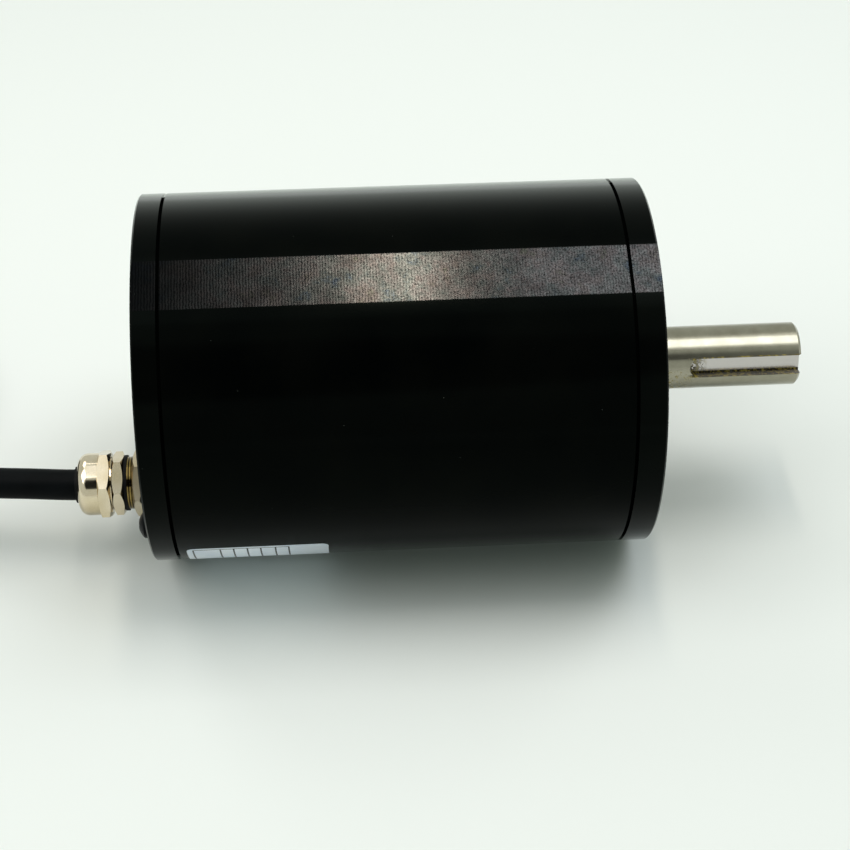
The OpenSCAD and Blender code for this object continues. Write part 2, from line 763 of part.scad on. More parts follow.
// Thread, hexagon and the sleeve that the dome nut screws onto, all bored through.
module gland_body() color("#b89a52") at_gland() difference() {
    union() {
        translate([0, 0, -thread_in]) cylinder(h = hex_s + thread_in, r = thread_r);
        translate([0, 0, hex_s]) bevelled_hex(gland_af, gland_hex_h, hex_angle);
        translate([0, 0, hex_s]) cylinder(h = sleeve_end_s - hex_s, r = sleeve_r);
    }
    translate([0, 0, -thread_in - over])
        cylinder(h = sleeve_end_s + thread_in + 2 * over, r = body_bore_r);
}

// Slotted ring that the dome nut closes on the seal.
module gland_claw() color("#23262a") at_gland() difference() {
    translate([0, 0, hex_s + gland_hex_h]) cylinder(h = claw_len(), r = body_bore_r - fit);
    translate([0, 0, hex_s]) cylinder(h = mouth_s, r = seal_sleeve_r() + fit);
    for (k = [0 : claw_slots - 1]) rotate([0, 0, 360 * k / claw_slots])
        translate([0, -claw_slit / 2, dome_s - nut_hex_h / 2])
            cube([gland_af, claw_slit, mouth_s]);
}
function claw_len() = sleeve_end_s + dome_round / 2 - hex_s - gland_hex_h;
function seal_sleeve_r() = cable_d / 2 + (body_bore_r - cable_d / 2) / 2;

// Rubber sleeve round the cable, with the lip that shows at the nut's mouth.
module gland_seal() color("#111213") at_gland() difference() {
    union() {
        translate([0, 0, hex_s + gland_hex_h])
            cylinder(h = mouth_s - hex_s - gland_hex_h, r = seal_sleeve_r());
        translate([0, 0, mouth_s - fit]) cylinder(h = lip_h + fit, r = lip_r);
    }
    translate([0, 0, hex_s]) cylinder(h = mouth_s + over, r = cable_d / 2 + fit);
}

// Outline of the dome above the nut's hexagon: straight side, round shoulder.
module dome_outline() {
    side = nut_af / 2 - fit;
    translate([0, -over]) square([side, nut_dome_h - dome_round + over]);
    translate([0, -over]) square([side - dome_round, nut_dome_h + over]);
    translate([side - dome_round, nut_dome_h - dome_round]) circle(r = dome_round);
}

module gland_dome_nut() color("#cfc6ae") at_gland() translate([0, 0, nut_s]) difference() {
    union() {
        bevelled_hex(nut_af, nut_hex_h, nut_angle);
        translate([0, 0, nut_hex_h]) rotate_extrude() dome_outline();
    }
    // room for the sleeve and the claw, then the mouth
    translate([0, 0, -over])
        cylinder(h = sleeve_end_s - nut_s + fit + over, r = sleeve_r + fit);
    cylinder(h = sleeve_end_s - nut_s + dome_round / 2 + fit, r = body_bore_r);
    cylinder(h = mouth_s - nut_s + over, r = seal_sleeve_r() + fit);
    translate([0, 0, mouth_s - nut_s - fit]) cylinder(h = over, r = lip_r);
}

// Modules: cable

function unit(v) = v / norm(v);
function smooth(t) = t * t * (3 - 2 * t);

// Ring of n points round c, square to t, one point at the bottom.
function loop_points(c, t, r, n) = let (s = unit(cross([0, 0, 1], t)), u = cross(t, s))
    [for (k = [0 : n - 1]) let (a = 360 * k / n - 90) c + r * (cos(a) * s + sin(a) * u)];

// Tangents along a path that starts and ends square to X.
function tangents(p) = [for (i = [0 : len(p) - 1])
    i == 0 || i == len(p) - 1 ? [-1, 0, 0] : unit(p[i + 1] - p[i - 1])];

// Closed tube through the points of a path.
module tube(p, r, n) {
    t = tangents(p);
    last = len(p) - 1;
    points = [for (i = [0 : last]) each loop_points(p[i], t[i], r, n)];
    sides = [for (i = [0 : last - 1], k = [0 : n - 1]) let (
            a = i * n + k, b = i * n + (k + 1) % n)
        each [[a, b, a + n], [b, b + n, a + n]]];
    ends = [for (k = [1 : n - 2])
        each [[0, k + 1, k], [last * n, last * n + k, last * n + k + 1]]];
    polyhedron(points = points, faces = concat(sides, ends));
}

// Coil: the cable runs onto the upper layer, spirals in, climbs down in half a
// turn and spirals out again on the floor.
total_turns = 2 * coil_turns + climb_turns;
inner_r = coil_r - layer_pitch * coil_turns;
coil_centre = [run_end[0] - cable_d, run_end[1] + coil_r];
function coil_radius(u) =
    u <= coil_turns ? coil_r - layer_pitch * u :
    u >= coil_turns + climb_turns ? inner_r + layer_pitch * (u - coil_turns - climb_turns) :
    let (v = (u - coil_turns) / climb_turns)
        inner_r - layer_pitch * climb_turns * (v - v * v);
function coil_height(u) = coil_z - layer_pitch *
    smooth(min(1, max(0, (u - coil_turns) / climb_turns)));
function coil_point(u) = let (a = -90 - 360 * u, r = coil_radius(u))
    [coil_centre[0] + r * cos(a), coil_centre[1] + r * sin(a), coil_height(u)];
coil_steps = round(total_turns * loop_rings);
wound_path = [for (i = [0 : coil_steps]) coil_point(total_turns * i / coil_steps)];
coil_path = concat([run_end], wound_path,
    [wound_path[coil_steps] - [cable_d, 0, 0]]);
coil_end = coil_path[len(coil_path) - 1];

// Least distance between turns, from points half a turn or more apart.
coil_gap = min([for (i = [0 : coil_steps - 1], j = [i + loop_rings / 2 : coil_steps])
    norm(wound_path[i] - wound_path[j])]) - cable_d;
path_len = function (p) let (d = [for (i = [1 : len(p) - 1]) norm(p[i] - p[i - 1])])
    d * [for (x = d) 1];
echo("least gap of the coil to itself, mm", coil_gap);
echo("free cable from gland to jacket end, mm", path_len(run_path) + path_len(coil_path));
echo("radius of the tightest turn, mm", inner_r - layer_pitch * climb_turns / 4);

// The straight piece held by the gland, from inside the cap to the lip.
module cable_entry() color("#0f1214") at_gland() translate([0, 0, -rear_rim - cable_in])
    cylinder(h = rear_rim + cable_in + mouth_s + lip_h, r = cable_d / 2);

module cable_run() color("#0f1214") tube(run_path, cable_d / 2, run_sides);
module cable_coil() color("#0f1214") tube(coil_path, cable_d / 2, coil_sides);

// Cores: [diameter, place in the cable, side place on the floor, colour].
power_places = [for (a = power_angles) cable_d * power_ring_share * [cos(a), sin(a)]];
signal_places = [for (a = signal_angles) cable_d * signal_ring_share * [cos(a), sin(a)]];
cores = [
    [power_core_d, power_places[1], -2.6, "#2b56b8"],
    [power_core_d, power_places[0], 0.6, "#d8b52a"],
    [power_core_d, power_places[2], 2.6, "#2f8f46"],
    [signal_core_d, signal_places[3], -4.3, "#b3261e"],
    [signal_core_d, signal_places[2], -3.5, "#1a1a1a"],
    [signal_core_d, signal_places[4], -0.7, "#d9d9d4"],
    [signal_core_d, signal_places[1], 3.5, "#2f8f46"],
    [signal_core_d, signal_places[0], 4.3, "#2b56b8"]
];
function core_end(c) =
    [coil_end[0] - core_len, coil_end[1] + c[2] * fan_step, floor_z + c[0] / 2];
function core_path(c) = let (a = coil_end + [0, c[1][0], c[1][1]], b = core_end(c))
    [for (i = [0 : core_rings - 1]) let (t = i / (core_rings - 1), s = smooth(t))
        [a[0] + (b[0] - a[0]) * t, a[1] + (b[1] - a[1]) * s, a[2] + (b[2] - a[2]) * s]];

module cable_cores() for (c = cores) color(c[3]) tube(core_path(c), c[0] / 2, core_sides);

module core_tips() color("#c9ccd0") for (c = cores)
    translate(core_end(c) - [tip_len, 0, 0]) along_x()
        cylinder(h = tip_len, r = c[0] / 2 * tip_share);

// Power cores inside the cap, from the cable's end to the sensor board.
module inner_leads() color("#c7a12c") for (p = power_places)
    translate([-body_len + rear_rim + cable_in, gland_y + p[0], gland_z + p[1]]) along_x()
        cylinder(h = board_x1 - board_t + body_len - rear_rim - cable_in, r = power_core_d / 2);

// Modules: rotor

// The sweep starts away from the keyway, so that the keyway leaves its seam whole.
module shaft() color("#b5b2a8") difference() {
    rotate([key_angle + seam_turn, 0, 0]) turned([
        [0, shaft_x0],
        [rear_bore / 2 - edge_bevel, shaft_x0], [rear_bore / 2, shaft_x0 + edge_bevel],
        [rear_bore / 2, rear_x1], [rear_collar_r, rear_x1],
        [rear_collar_r, rotor_x0 - end_ring_t], [seat_r, rotor_x0 - end_ring_t],
        [seat_r, rotor_x1 + end_ring_t], [collar_r, rotor_x1 + end_ring_t],
        [collar_r, front_x0], [front_bore / 2, front_x0],
        [front_bore / 2, pilot_h + step_gap - edge_bevel],
        [shaft_d / 2, pilot_h + step_gap],
        [shaft_d / 2, shaft_len - shaft_bevel],
        [shaft_d / 2 - shaft_bevel, shaft_len], [0, shaft_len]
    ]);
    rotate([key_angle, 0, 0]) translate([shaft_len - key_len + key_w / 2, 0, 0]) {
        translate([0, shaft_d / 2 - key_depth, -key_w / 2])
            cube([key_len, shaft_d, key_w]);
        translate([0, shaft_d / 2 - key_depth, 0]) rotate([-90, 0, 0])
            cylinder(h = shaft_d, r = key_w / 2);
    }
    disc(shaft_len - centre_depth, shaft_len + over, centre_d / 2);
    translate([shaft_len - centre_d / 4, 0, 0]) along_x()
        cylinder(h = centre_d / 4 + fit, r1 = centre_d / 2,
                 r2 = centre_d * centre_mouth_share + fit);
}

module rotor_core() color("#6e7072") ring(rotor_x0, rotor_x1, core_r, seat_r + fit);

module rotor_magnets() color("#4f5254") translate([rotor_x0, 0, 0]) along_x()
    linear_extrude(height = rotor_x1 - rotor_x0) difference() {
        circle(r = magnet_r);
        circle(r = core_r + fit);
        for (k = [0 : magnet_count - 1]) rotate(360 * k / magnet_count)
            translate([0, -magnet_gap / 2]) square([body_r, magnet_gap]);
    }

module rotor_sleeve() color("#9a9c9e")
    ring(rotor_x0 - end_ring_t, rotor_x1 + end_ring_t, rotor_r, magnet_r + fit);

module rotor_end_rings() color("#b79a55") {
    ring(rotor_x0 - end_ring_t, rotor_x0, magnet_r, seat_r + fit);
    ring(rotor_x1, rotor_x1 + end_ring_t, magnet_r, seat_r + fit);
}

housing_tube();
front_cap();
rear_cap();
front_cap_screws();
rear_cap_screws();
earth_screw();
front_cap_o_ring();
rear_cap_o_ring();
shaft_seal();
bearing_circlip();
wave_washer();
front_bearing_outer();
front_bearing_shields();
rear_bearing_outer();
rear_bearing_shields();
stator_core();
stator_insulators();
windings();
sensor_board();
hall_sensors();
board_screws();
gland_locknut();
gland_gasket();
gland_body();
gland_claw();
gland_seal();
gland_dome_nut();
inner_leads();
cable_entry();
cable_run();
cable_coil();
cable_cores();
core_tips();
shaft();
front_bearing_inner();
rear_bearing_inner();
rotor_core();
rotor_magnets();
rotor_sleeve();
rotor_end_rings();
front_bearing_cage();
front_bearing_balls();
rear_bearing_cage();
rear_bearing_balls();
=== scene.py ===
"""Dresses the round DC motor: housing, keyed shaft, cable gland and flying lead."""

import logging
import math
from dataclasses import dataclass, replace
from enum import Enum
from typing import Any, Iterable, Mapping, NamedTuple, Sequence

import bmesh
import bpy
from mathutils import Matrix, Vector


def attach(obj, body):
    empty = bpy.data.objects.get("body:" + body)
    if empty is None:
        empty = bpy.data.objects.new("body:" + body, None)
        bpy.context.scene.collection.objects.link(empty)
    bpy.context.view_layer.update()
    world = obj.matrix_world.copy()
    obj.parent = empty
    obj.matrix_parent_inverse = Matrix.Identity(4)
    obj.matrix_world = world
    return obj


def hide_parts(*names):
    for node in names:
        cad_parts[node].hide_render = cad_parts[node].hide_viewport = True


LOG = logging.getLogger("dc_motor")
MM = 0.001
FLOOR_MM = -55.0  # the plane that the motor and its lead lie on
SHARP_ANGLE = 32.0  # degrees between two faces from which their edge is kept sharp
WAVE_PERIOD = 2 * math.pi / 20  # of the Wave texture's bands at scale 1, in metres

Socket = bpy.types.NodeSocket
Tree = bpy.types.NodeTree
Point = tuple[float, float, float]
Span = tuple[float, float]
Stops = Sequence[tuple[float, str]]
Piece = bpy.types.Object
RISE: Span = (0.0, 1.0)
FALL: Span = (1.0, 0.0)

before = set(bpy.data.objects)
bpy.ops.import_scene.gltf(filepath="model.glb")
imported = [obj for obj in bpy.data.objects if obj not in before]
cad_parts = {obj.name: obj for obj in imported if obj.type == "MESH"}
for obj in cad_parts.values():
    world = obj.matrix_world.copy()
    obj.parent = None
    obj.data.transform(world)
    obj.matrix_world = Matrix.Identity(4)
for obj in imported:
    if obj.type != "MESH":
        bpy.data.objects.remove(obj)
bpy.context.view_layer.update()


# small helpers


def colour(code: str) -> tuple[float, float, float, float]:
    """Turns an sRGB hex colour to the linear values that a shader takes.

    Args:
        code: A colour such as "#1a1b1c".

    Returns:
        Linear red, green and blue, and an alpha of 1.
    """
    parts = [int(code[i : i + 2], 16) / 255 for i in (1, 3, 5)]
    line = [c / 12.92 if c <= 0.04045 else ((c + 0.055) / 1.055) ** 2.4 for c in parts]
    return (line[0], line[1], line[2], 1.0)


def per_metre(size_mm: float) -> float:
    """Returns the noise scale whose features are size_mm apart."""
    return 1 / (size_mm * MM)


def band_scale(period_mm: float) -> float:
    """Returns the Wave texture's scale whose bands repeat every period_mm."""
    return WAVE_PERIOD / (period_mm * MM)


def axis_angle(theta: float, radius: float, x: float = 0.0) -> Vector:
    """Places a point round the shaft's axis.

    Args:
        theta: Degrees from +Y toward +Z.
        radius: Distance from the axis, in millimetres.
        x: Station along the axis, in millimetres.

    Returns:
        The point, in metres.
    """
    turn = math.radians(theta)
    return Vector((x, radius * math.cos(turn), radius * math.sin(turn))) * MM


def add_node(
    tree: Tree,
    kind: str,
    inputs: Mapping[int | str, Any] | Sequence[Any] = (),
    stops: Stops = (),
    **settings: Any,
) -> bpy.types.bpy_prop_collection:
    """Adds one shader node with its settings, values and links.

    Args:
        tree: The node tree that takes the node.
        kind: The node's type name, without "ShaderNode" before it.
        inputs: What each input gets, a socket that feeds it or a plain value, by
            its name or number, or as a list from the first input on.
        stops: Position and sRGB colour of each stop of a colour ramp.
        **settings: Properties of the node itself.

    Returns:
        The new node's outputs.
    """
    node = tree.nodes.new("ShaderNode" + kind)
    for name, value in settings.items():
        setattr(node, name, value)
    pairs = inputs.items() if isinstance(inputs, Mapping) else enumerate(inputs)
    for key, value in pairs:
        if isinstance(value, Socket):
            tree.links.new(value, node.inputs[key])
        else:
            node.inputs[key].default_value = value
    if stops:
        ramp = node.color_ramp
        while len(ramp.elements) < len(stops):
            ramp.elements.new(1.0)
        for element, (position, code) in zip(ramp.elements, stops):
            element.position = position
            element.color = colour(code)
    return node.outputs


class Coat:
    """A material in the making, and what its nodes read of the shaded point."""

    def __init__(self, name: str) -> None:
        """Makes an empty material.

        Args:
            name: What the real material is and how its surface was made.
        """
        self.material = bpy.data.materials.new(name)
        self.material.use_nodes = True
        self.tree: Tree = self.material.node_tree
        self.tree.nodes.clear()
        spot = add_node(self.tree, "TexCoord")
        self.place: Socket = spot["Object"]
        self.normal: Socket = spot["Normal"]

    def station(self) -> Socket:
        """Returns the shaded point's station along the axis, in metres."""
        return add_node(self.tree, "SeparateXYZ", [self.place])["X"]

    def close(
        self, inputs: Mapping[str, Any], height: Socket, strength: float, depth_mm: float
    ) -> bpy.types.Material:
        """Adds the relief, the shader and the output.

        Args:
            inputs: What the shader's inputs get.
            height: The relief's height, from 0 to 1.
            strength: How strongly the relief shows.
            depth_mm: How deep it is.

        Returns:
            The finished material.
        """
        relief = {"Height": height, "Strength": strength, "Distance": depth_mm * MM}
        bump = add_node(self.tree, "Bump", relief)[0]
        shader = add_node(self.tree, "BsdfPrincipled", {**inputs, "Normal": bump})[0]
        add_node(self.tree, "OutputMaterial", {"Surface": shader})
        return self.material


def wear(piece: Piece, material: bpy.types.Material) -> None:
    """Gives a new piece or a CAD node its one finish."""
    piece.data.materials.clear()
    piece.data.materials.append(material)


def piece_from(bm: bmesh.types.BMesh, name: str, smooth: bool = True) -> Piece:
    """Turns a finished bmesh into a piece at the origin.

    Args:
        bm: The mesh, in metres and in its place; it is freed.
        name: The piece's name.
        smooth: Whether its faces are shaded smooth, with sharp edges kept sharp.

    Returns:
        The new object.
    """
    bmesh.ops.recalc_face_normals(bm, faces=bm.faces)
    mesh = bpy.data.meshes.new(name)
    bm.to_mesh(mesh)
    bm.free()
    piece = bpy.data.objects.new(name, mesh)
    bpy.context.scene.collection.objects.link(piece)
    if smooth:
        mesh.shade_smooth()
        mesh.set_sharp_from_angle(angle=math.radians(SHARP_ANGLE))
    return piece


# finishes


@dataclass(frozen=True)
class AnodisedAluminium:
    """Turned aluminium, dyed black and sealed, with one cross-milled flat.

    The skin is near black and becomes a mirror only where it is seen along its
    surface. The flat is greyer, with feed marks, an etched grain and a tinted film.
    """

    name: str = "anodised_aluminium_turned_black"
    specular: float = 0.02  # a deep dye over a sealed skin reflects little
    grazing: float = 6.5  # how late the skin turns into a mirror
    dye: Stops = ((0.35, "#020303"), (0.7, "#050605"))
    milled: Stops = ((0.3, "#070809"), (0.75, "#0d0d0d"))
    skin_tint: str = "#e6ffee"
    film: Stops = (
        (0.34, "#b4cbe4"),
        (0.43, "#e2eae4"),
        (0.5, "#fffdfa"),
        (0.58, "#fbebe8"),
        (0.66, "#e6e8d2"),
    )
    roughness: Span = (0.14, 0.15)  # of the skin and of the flat
    flat_angle: float = 112.35  # where the flat faces, from +Y toward +Z
    flat_mm: float = 54.466  # from the axis to the flat
    flat_slack_mm: float = 0.03  # what lies this little deeper still is the flat
    groove_mm: float = 54.2  # what lies deeper is in a seam's shadow
    side_cosine: float = 0.5  # a seam's floor faces away from the axis
    cloud_mm: float = 200 / 9  # dye that took a little unevenly
    dust: str = "#4e514d"
    dust_mm: float = 6.25  # from one speck of dust to the next
    speck: float = 0.015  # a speck's radius over that distance
    turning_mm: float = 0.22  # feed of the lathe tool
    milling_mm: float = 0.82  # feed marks across the flat
    film_mm: float = 9.0  # patches of tint in the sealed film
    blotch_mm: float = 6.0  # wandering patches where the cutter bit less
    grain_mm: float = 0.44  # etched grain, drawn as large as it shows
    marks_mm: Span = (-150.0, -70.0)  # where the feed marks fade out
    marks_share: Span = (0.36, 0.08)  # how much of the relief they are there
    tooth_span: Span = (0.34, 0.66)  # valley and crest of the relief
    tooth_shine: Span = (0.03, 0.62)
    blotch_span: Span = (0.32, 0.62)
    blotch_shine: Span = (0.68, 1.12)
    rear_shade_mm: Span = (-150.0, -95.0)  # painted shade: the flat's reflection fades out toward the rear end
    rear_shade_shine: Span = (0.05, 1.0)
    painted_top_light_span: Span = (-0.4, 0.2)  # painted light: the skin's mirror is dimmed where it faces down and brightened where it faces up
    painted_top_light_shine: Span = (0.25, 3.2)
    relief_mm: float = 0.006
    relief: float = 0.2

    def outside_seam_shade(self, coat: Coat, across: Socket) -> Socket:
        """Paints shade into the floor of a seam by taking its shine away.

        Args:
            coat: The material in the making.
            across: How far the surface faces along the axis.

        Returns:
            0 on a seam's floor and 1 elsewhere.
        """
        tree = coat.tree
        _, y, z = add_node(tree, "SeparateXYZ", [coat.place])
        spoke = add_node(tree, "CombineXYZ", {"Y": y, "Z": z})[0]
        radius = add_node(tree, "VectorMath", [spoke], operation="LENGTH")["Value"]
        deep = add_node(tree, "Math", [radius, self.groove_mm * MM], operation="LESS_THAN")[0]
        outward = add_node(
            tree, "Math", [across, 0.0, self.side_cosine], operation="COMPARE"
        )[0]
        seam = add_node(tree, "Math", [deep, outward], operation="MULTIPLY")[0]
        return add_node(tree, "Math", [1.0, seam], operation="SUBTRACT")[0]

    def ground(self, coat: Coat, flat: Socket) -> Socket:
        """Mixes the dyed skin's colour, the flat's and the specks of dust.

        Args:
            coat: The material in the making.
            flat: 1 on the flat and 0 elsewhere.

        Returns:
            The colour under the shine.
        """
        tree, place = coat.tree, coat.place
        cloud = add_node(
            tree, "TexNoise", {"Vector": place, "Scale": per_metre(self.cloud_mm), "Detail": 4.0}
        )[0]
        dyed, milled = (
            add_node(tree, "ValToRGB", [cloud], stops)[0] for stops in (self.dye, self.milled)
        )
        metal = add_node(tree, "Mix", {0: flat, 6: dyed, 7: milled}, data_type="RGBA")[2]
        dust = add_node(tree, "TexVoronoi", {"Vector": place, "Scale": per_metre(self.dust_mm)})
        speck = add_node(tree, "Math", [dust["Distance"], self.speck], operation="LESS_THAN")[0]
        return add_node(
            tree, "Mix", {0: speck, 6: metal, 7: colour(self.dust)}, data_type="RGBA"
        )[2]

    def tooth(self, coat: Coat) -> Socket:
        """Draws the flat's relief: feed marks that fade out into an etched grain.

        Args:
            coat: The material in the making.

        Returns:
            The relief, about 0.5 in the middle.
        """
        tree, place = coat.tree, coat.place
        marks = add_node(
            tree,
            "TexWave",
            {
                "Vector": place,
                "Scale": band_scale(self.milling_mm),
                "Distortion": 3.0,
                "Detail": 3.0,
                "Detail Scale": 2.0,
            },
            bands_direction="X",
        )["Fac"]
        grain = add_node(
            tree,
            "TexNoise",
            {"Vector": place, "Scale": per_metre(self.grain_mm), "Detail": 3.0, "Roughness": 0.7},
        )[0]
        span = (x * MM for x in self.marks_mm)
        fade = add_node(tree, "MapRange", [coat.station(), *span, *self.marks_share])[0]
        return add_node(tree, "Mix", {0: fade, 2: grain, 3: marks}, data_type="FLOAT")[0]

    def milled_shine(self, coat: Coat, tooth: Socket) -> Socket:
        """Makes the flat shine on its crests and less in blotches, with painted shade fading it
        toward the rear end.

        Args:
            coat: The material in the making.
            tooth: The flat's relief.

        Returns:
            The flat's specular level.
        """
        tree, place = coat.tree, coat.place
        bright = add_node(tree, "MapRange", [tooth, *self.tooth_span, *self.tooth_shine])[0]
        blotch = add_node(
            tree,
            "TexNoise",
            {"Vector": place, "Scale": per_metre(self.blotch_mm), "Detail": 3.0, "Roughness": 0.6},
        )[0]
        patch = add_node(tree, "MapRange", [blotch, *self.blotch_span, *self.blotch_shine])[0]
        # painted shade: the flat's reflection fades toward the rear end
        rear_shade = add_node(
            tree,
            "MapRange",
            [coat.station(), *(x * MM for x in self.rear_shade_mm), *self.rear_shade_shine],
            interpolation_type="SMOOTHSTEP",
        )[0]
        blotch_and_rear_shade = add_node(tree, "Math", [rear_shade, patch], operation="MULTIPLY")[0]
        return add_node(tree, "Math", [bright, blotch_and_rear_shade], operation="MULTIPLY")[0]

    def turned_shine(self, tree: Tree, upward: Socket) -> Socket:
        """Makes the skin a mirror where it is seen along its surface, with painted light: dimmer
        facing down, brighter facing up.

        Args:
            tree: The material's node tree.
            upward: How far the surface faces up.

        Returns:
            The skin's specular level.
        """
        glance = add_node(tree, "LayerWeight", {"Blend": 0.5})["Facing"]
        steep = add_node(tree, "Math", [glance, self.grazing], operation="POWER")[0]
        # painted light: the mirror dimmed on the underside and brightened on the top
        painted_top_light = add_node(tree, "MapRange", [upward, *self.painted_top_light_span, *self.painted_top_light_shine])[0]
        return add_node(
            tree, "Math", [steep, painted_top_light, self.specular], operation="MULTIPLY_ADD"
        )[0]

    def build(self) -> bpy.types.Material:
        """Builds the finish, with the milled flat told apart by its plane.

        Returns:
            The material.
        """
        coat = Coat(self.name)
        tree, place = coat.tree, coat.place
        facing = add_node(tree, "SeparateXYZ", [coat.normal])
        normal = tuple(axis_angle(self.flat_angle, 1.0) / MM)
        height = add_node(tree, "VectorMath", [place, normal], operation="DOT_PRODUCT")["Value"]
        edge = (self.flat_mm - self.flat_slack_mm) * MM
        flat = add_node(tree, "Math", [height, edge], operation="GREATER_THAN")[0]
        tooth = self.tooth(coat)
        turned = self.turned_shine(tree, facing["Z"])
        milled = self.milled_shine(coat, tooth)
        shine = add_node(tree, "Mix", {0: flat, 2: turned, 3: milled}, data_type="FLOAT")[0]
        # painted shade: the floor of a seam loses its shine
        outside_seam_shade = self.outside_seam_shade(coat, facing["X"])
        lit = add_node(tree, "Math", [shine, outside_seam_shade], operation="MULTIPLY")[0]
        film = add_node(
            tree,
            "TexNoise",
            {"Vector": place, "Scale": per_metre(self.film_mm), "Detail": 6.0, "Roughness": 0.75},
        )[0]
        tint = add_node(tree, "ValToRGB", [film], self.film)[0]
        film_tint = add_node(
            tree, "Mix", {0: flat, 6: colour(self.skin_tint), 7: tint}, data_type="RGBA"
        )[2]
        skin, face = self.roughness
        rough = add_node(tree, "Mix", {0: flat, 2: skin, 3: face}, data_type="FLOAT")[0]
        rings = add_node(
            tree,
            "TexNoise",
            {"W": coat.station(), "Scale": per_metre(self.turning_mm), "Detail": 3.0},
            noise_dimensions="1D",
        )[0]
        relief = add_node(tree, "Mix", {0: flat, 2: rings, 3: tooth}, data_type="FLOAT")[0]
        inputs = {
            "Base Color": self.ground(coat, flat),
            "Specular Tint": film_tint,
            "Specular IOR Level": lit,
            "Roughness": rough,
        }
        return coat.close(inputs, relief, self.relief, self.relief_mm)


@dataclass(frozen=True)
class TurnedMetal:
    """Turned, ground or plated metal: fine rings round the axis and faint stains.

    Where the plating ends, bare thread is painted on: grooves dark with painted shade, and brassy
    crests.
    """

    name: str
    base: str
    shade: str
    roughness: float = 0.25
    ring_mm: float = 0.15  # spacing of the tool's rings
    relief_mm: float = 0.002  # depth of the rings
    cloud_mm: float = 8.0  # size of the stains
    cloud_span: Span = (0.35, 0.62)
    grain_mm: float = 0.22  # grain left by the polishing or the bath
    grain_span: Span = (0.3, 0.7)
    grain_shade: Span = (0.86, 1.0)
    gloss_share: Span = (0.8, 1.3)  # how the roughness wanders with the stains
    relief: float = 0.4
    bare_mm: Span | None = None  # stations where the plating ends
    bare: Stops = ((0.2, "#1f170b"), (0.7, "#8c7746"))  # thread groove, dark with painted shade, and brassy crest
    pitch_mm: float = 0.8  # from crest to crest

    def thread(self, coat: Coat, skin: Socket, bare_mm: Span) -> Socket:
        """Paints bare thread between two stations, its grooves darkened as painted shade.

        Args:
            coat: The material in the making.
            skin: The colour of the plating.
            bare_mm: The two stations.

        Returns:
            The colour with the bare thread in it.
        """
        tree = coat.tree
        crests = add_node(
            tree,
            "TexWave",
            {"Vector": coat.place, "Scale": band_scale(self.pitch_mm), "Distortion": 0.6},
            bands_direction="X",
        )["Fac"]
        # painted shade: the thread's grooves are dark bands
        thread = add_node(tree, "ValToRGB", [crests], self.bare)[0]
        middle, half = sum(bare_mm) / 2, (bare_mm[1] - bare_mm[0]) / 2
        inside = add_node(
            tree, "Math", [coat.station(), middle * MM, half * MM], operation="COMPARE"
        )[0]
        return add_node(tree, "Mix", {0: inside, 6: skin, 7: thread}, data_type="RGBA")[2]

    def build(self) -> bpy.types.Material:
        """Builds the finish.

        Returns:
            The material.
        """
        coat = Coat(self.name)
        tree, place = coat.tree, coat.place
        cloud = add_node(
            tree, "TexNoise", {"Vector": place, "Scale": per_metre(self.cloud_mm), "Detail": 5.0}
        )[0]
        stops = tuple(zip(self.cloud_span, (self.shade, self.base)))
        skin = add_node(tree, "ValToRGB", [cloud], stops)[0]
        if self.bare_mm:
            skin = self.thread(coat, skin, self.bare_mm)
        grain = add_node(
            tree, "TexNoise", {"Vector": place, "Scale": per_metre(self.grain_mm), "Detail": 2.0}
        )[0]
        depth = add_node(tree, "MapRange", [grain, *self.grain_span, *self.grain_shade])[0]
        shaded = add_node(tree, "VectorMath", {0: skin, "Scale": depth}, operation="SCALE")[0]
        ends = (self.roughness * share for share in self.gloss_share)
        rough = add_node(tree, "MapRange", [cloud, *RISE, *ends])[0]
        rings = add_node(
            tree,
            "TexNoise",
            {"W": coat.station(), "Scale": per_metre(self.ring_mm), "Detail": 2.0},
            noise_dimensions="1D",
        )[0]
        inputs = {"Base Color": shaded, "Metallic": 1.0, "Roughness": rough}
        return coat.close(inputs, rings, self.relief, self.relief_mm)


@dataclass(frozen=True)
class Moulded:
    """Moulded or extruded plastic or rubber: even colour with a fine soft grain."""

    name: str
    base: str
    shade: str
    roughness: float = 0.5
    grain_mm: float = 0.35
    relief_mm: float = 0.01
    specular: float = 0.5
    cloud_mm: float = 6.25
    cloud_span: Span = (0.35, 0.65)
    relief: float = 0.4

    def build(self) -> bpy.types.Material:
        """Builds the finish.

        Returns:
            The material.
        """
        coat = Coat(self.name)
        tree, place = coat.tree, coat.place
        cloud, grain = (
            add_node(tree, "TexNoise", {"Vector": place, "Scale": scale, "Detail": 3.0})[0]
            for scale in (per_metre(self.cloud_mm), per_metre(self.grain_mm))
        )
        stops = tuple(zip(self.cloud_span, (self.shade, self.base)))
        inputs = {
            "Base Color": add_node(tree, "ValToRGB", [cloud], stops)[0],
            "Roughness": self.roughness,
            "Specular IOR Level": self.specular,
        }
        return coat.close(inputs, grain, self.relief, self.relief_mm)


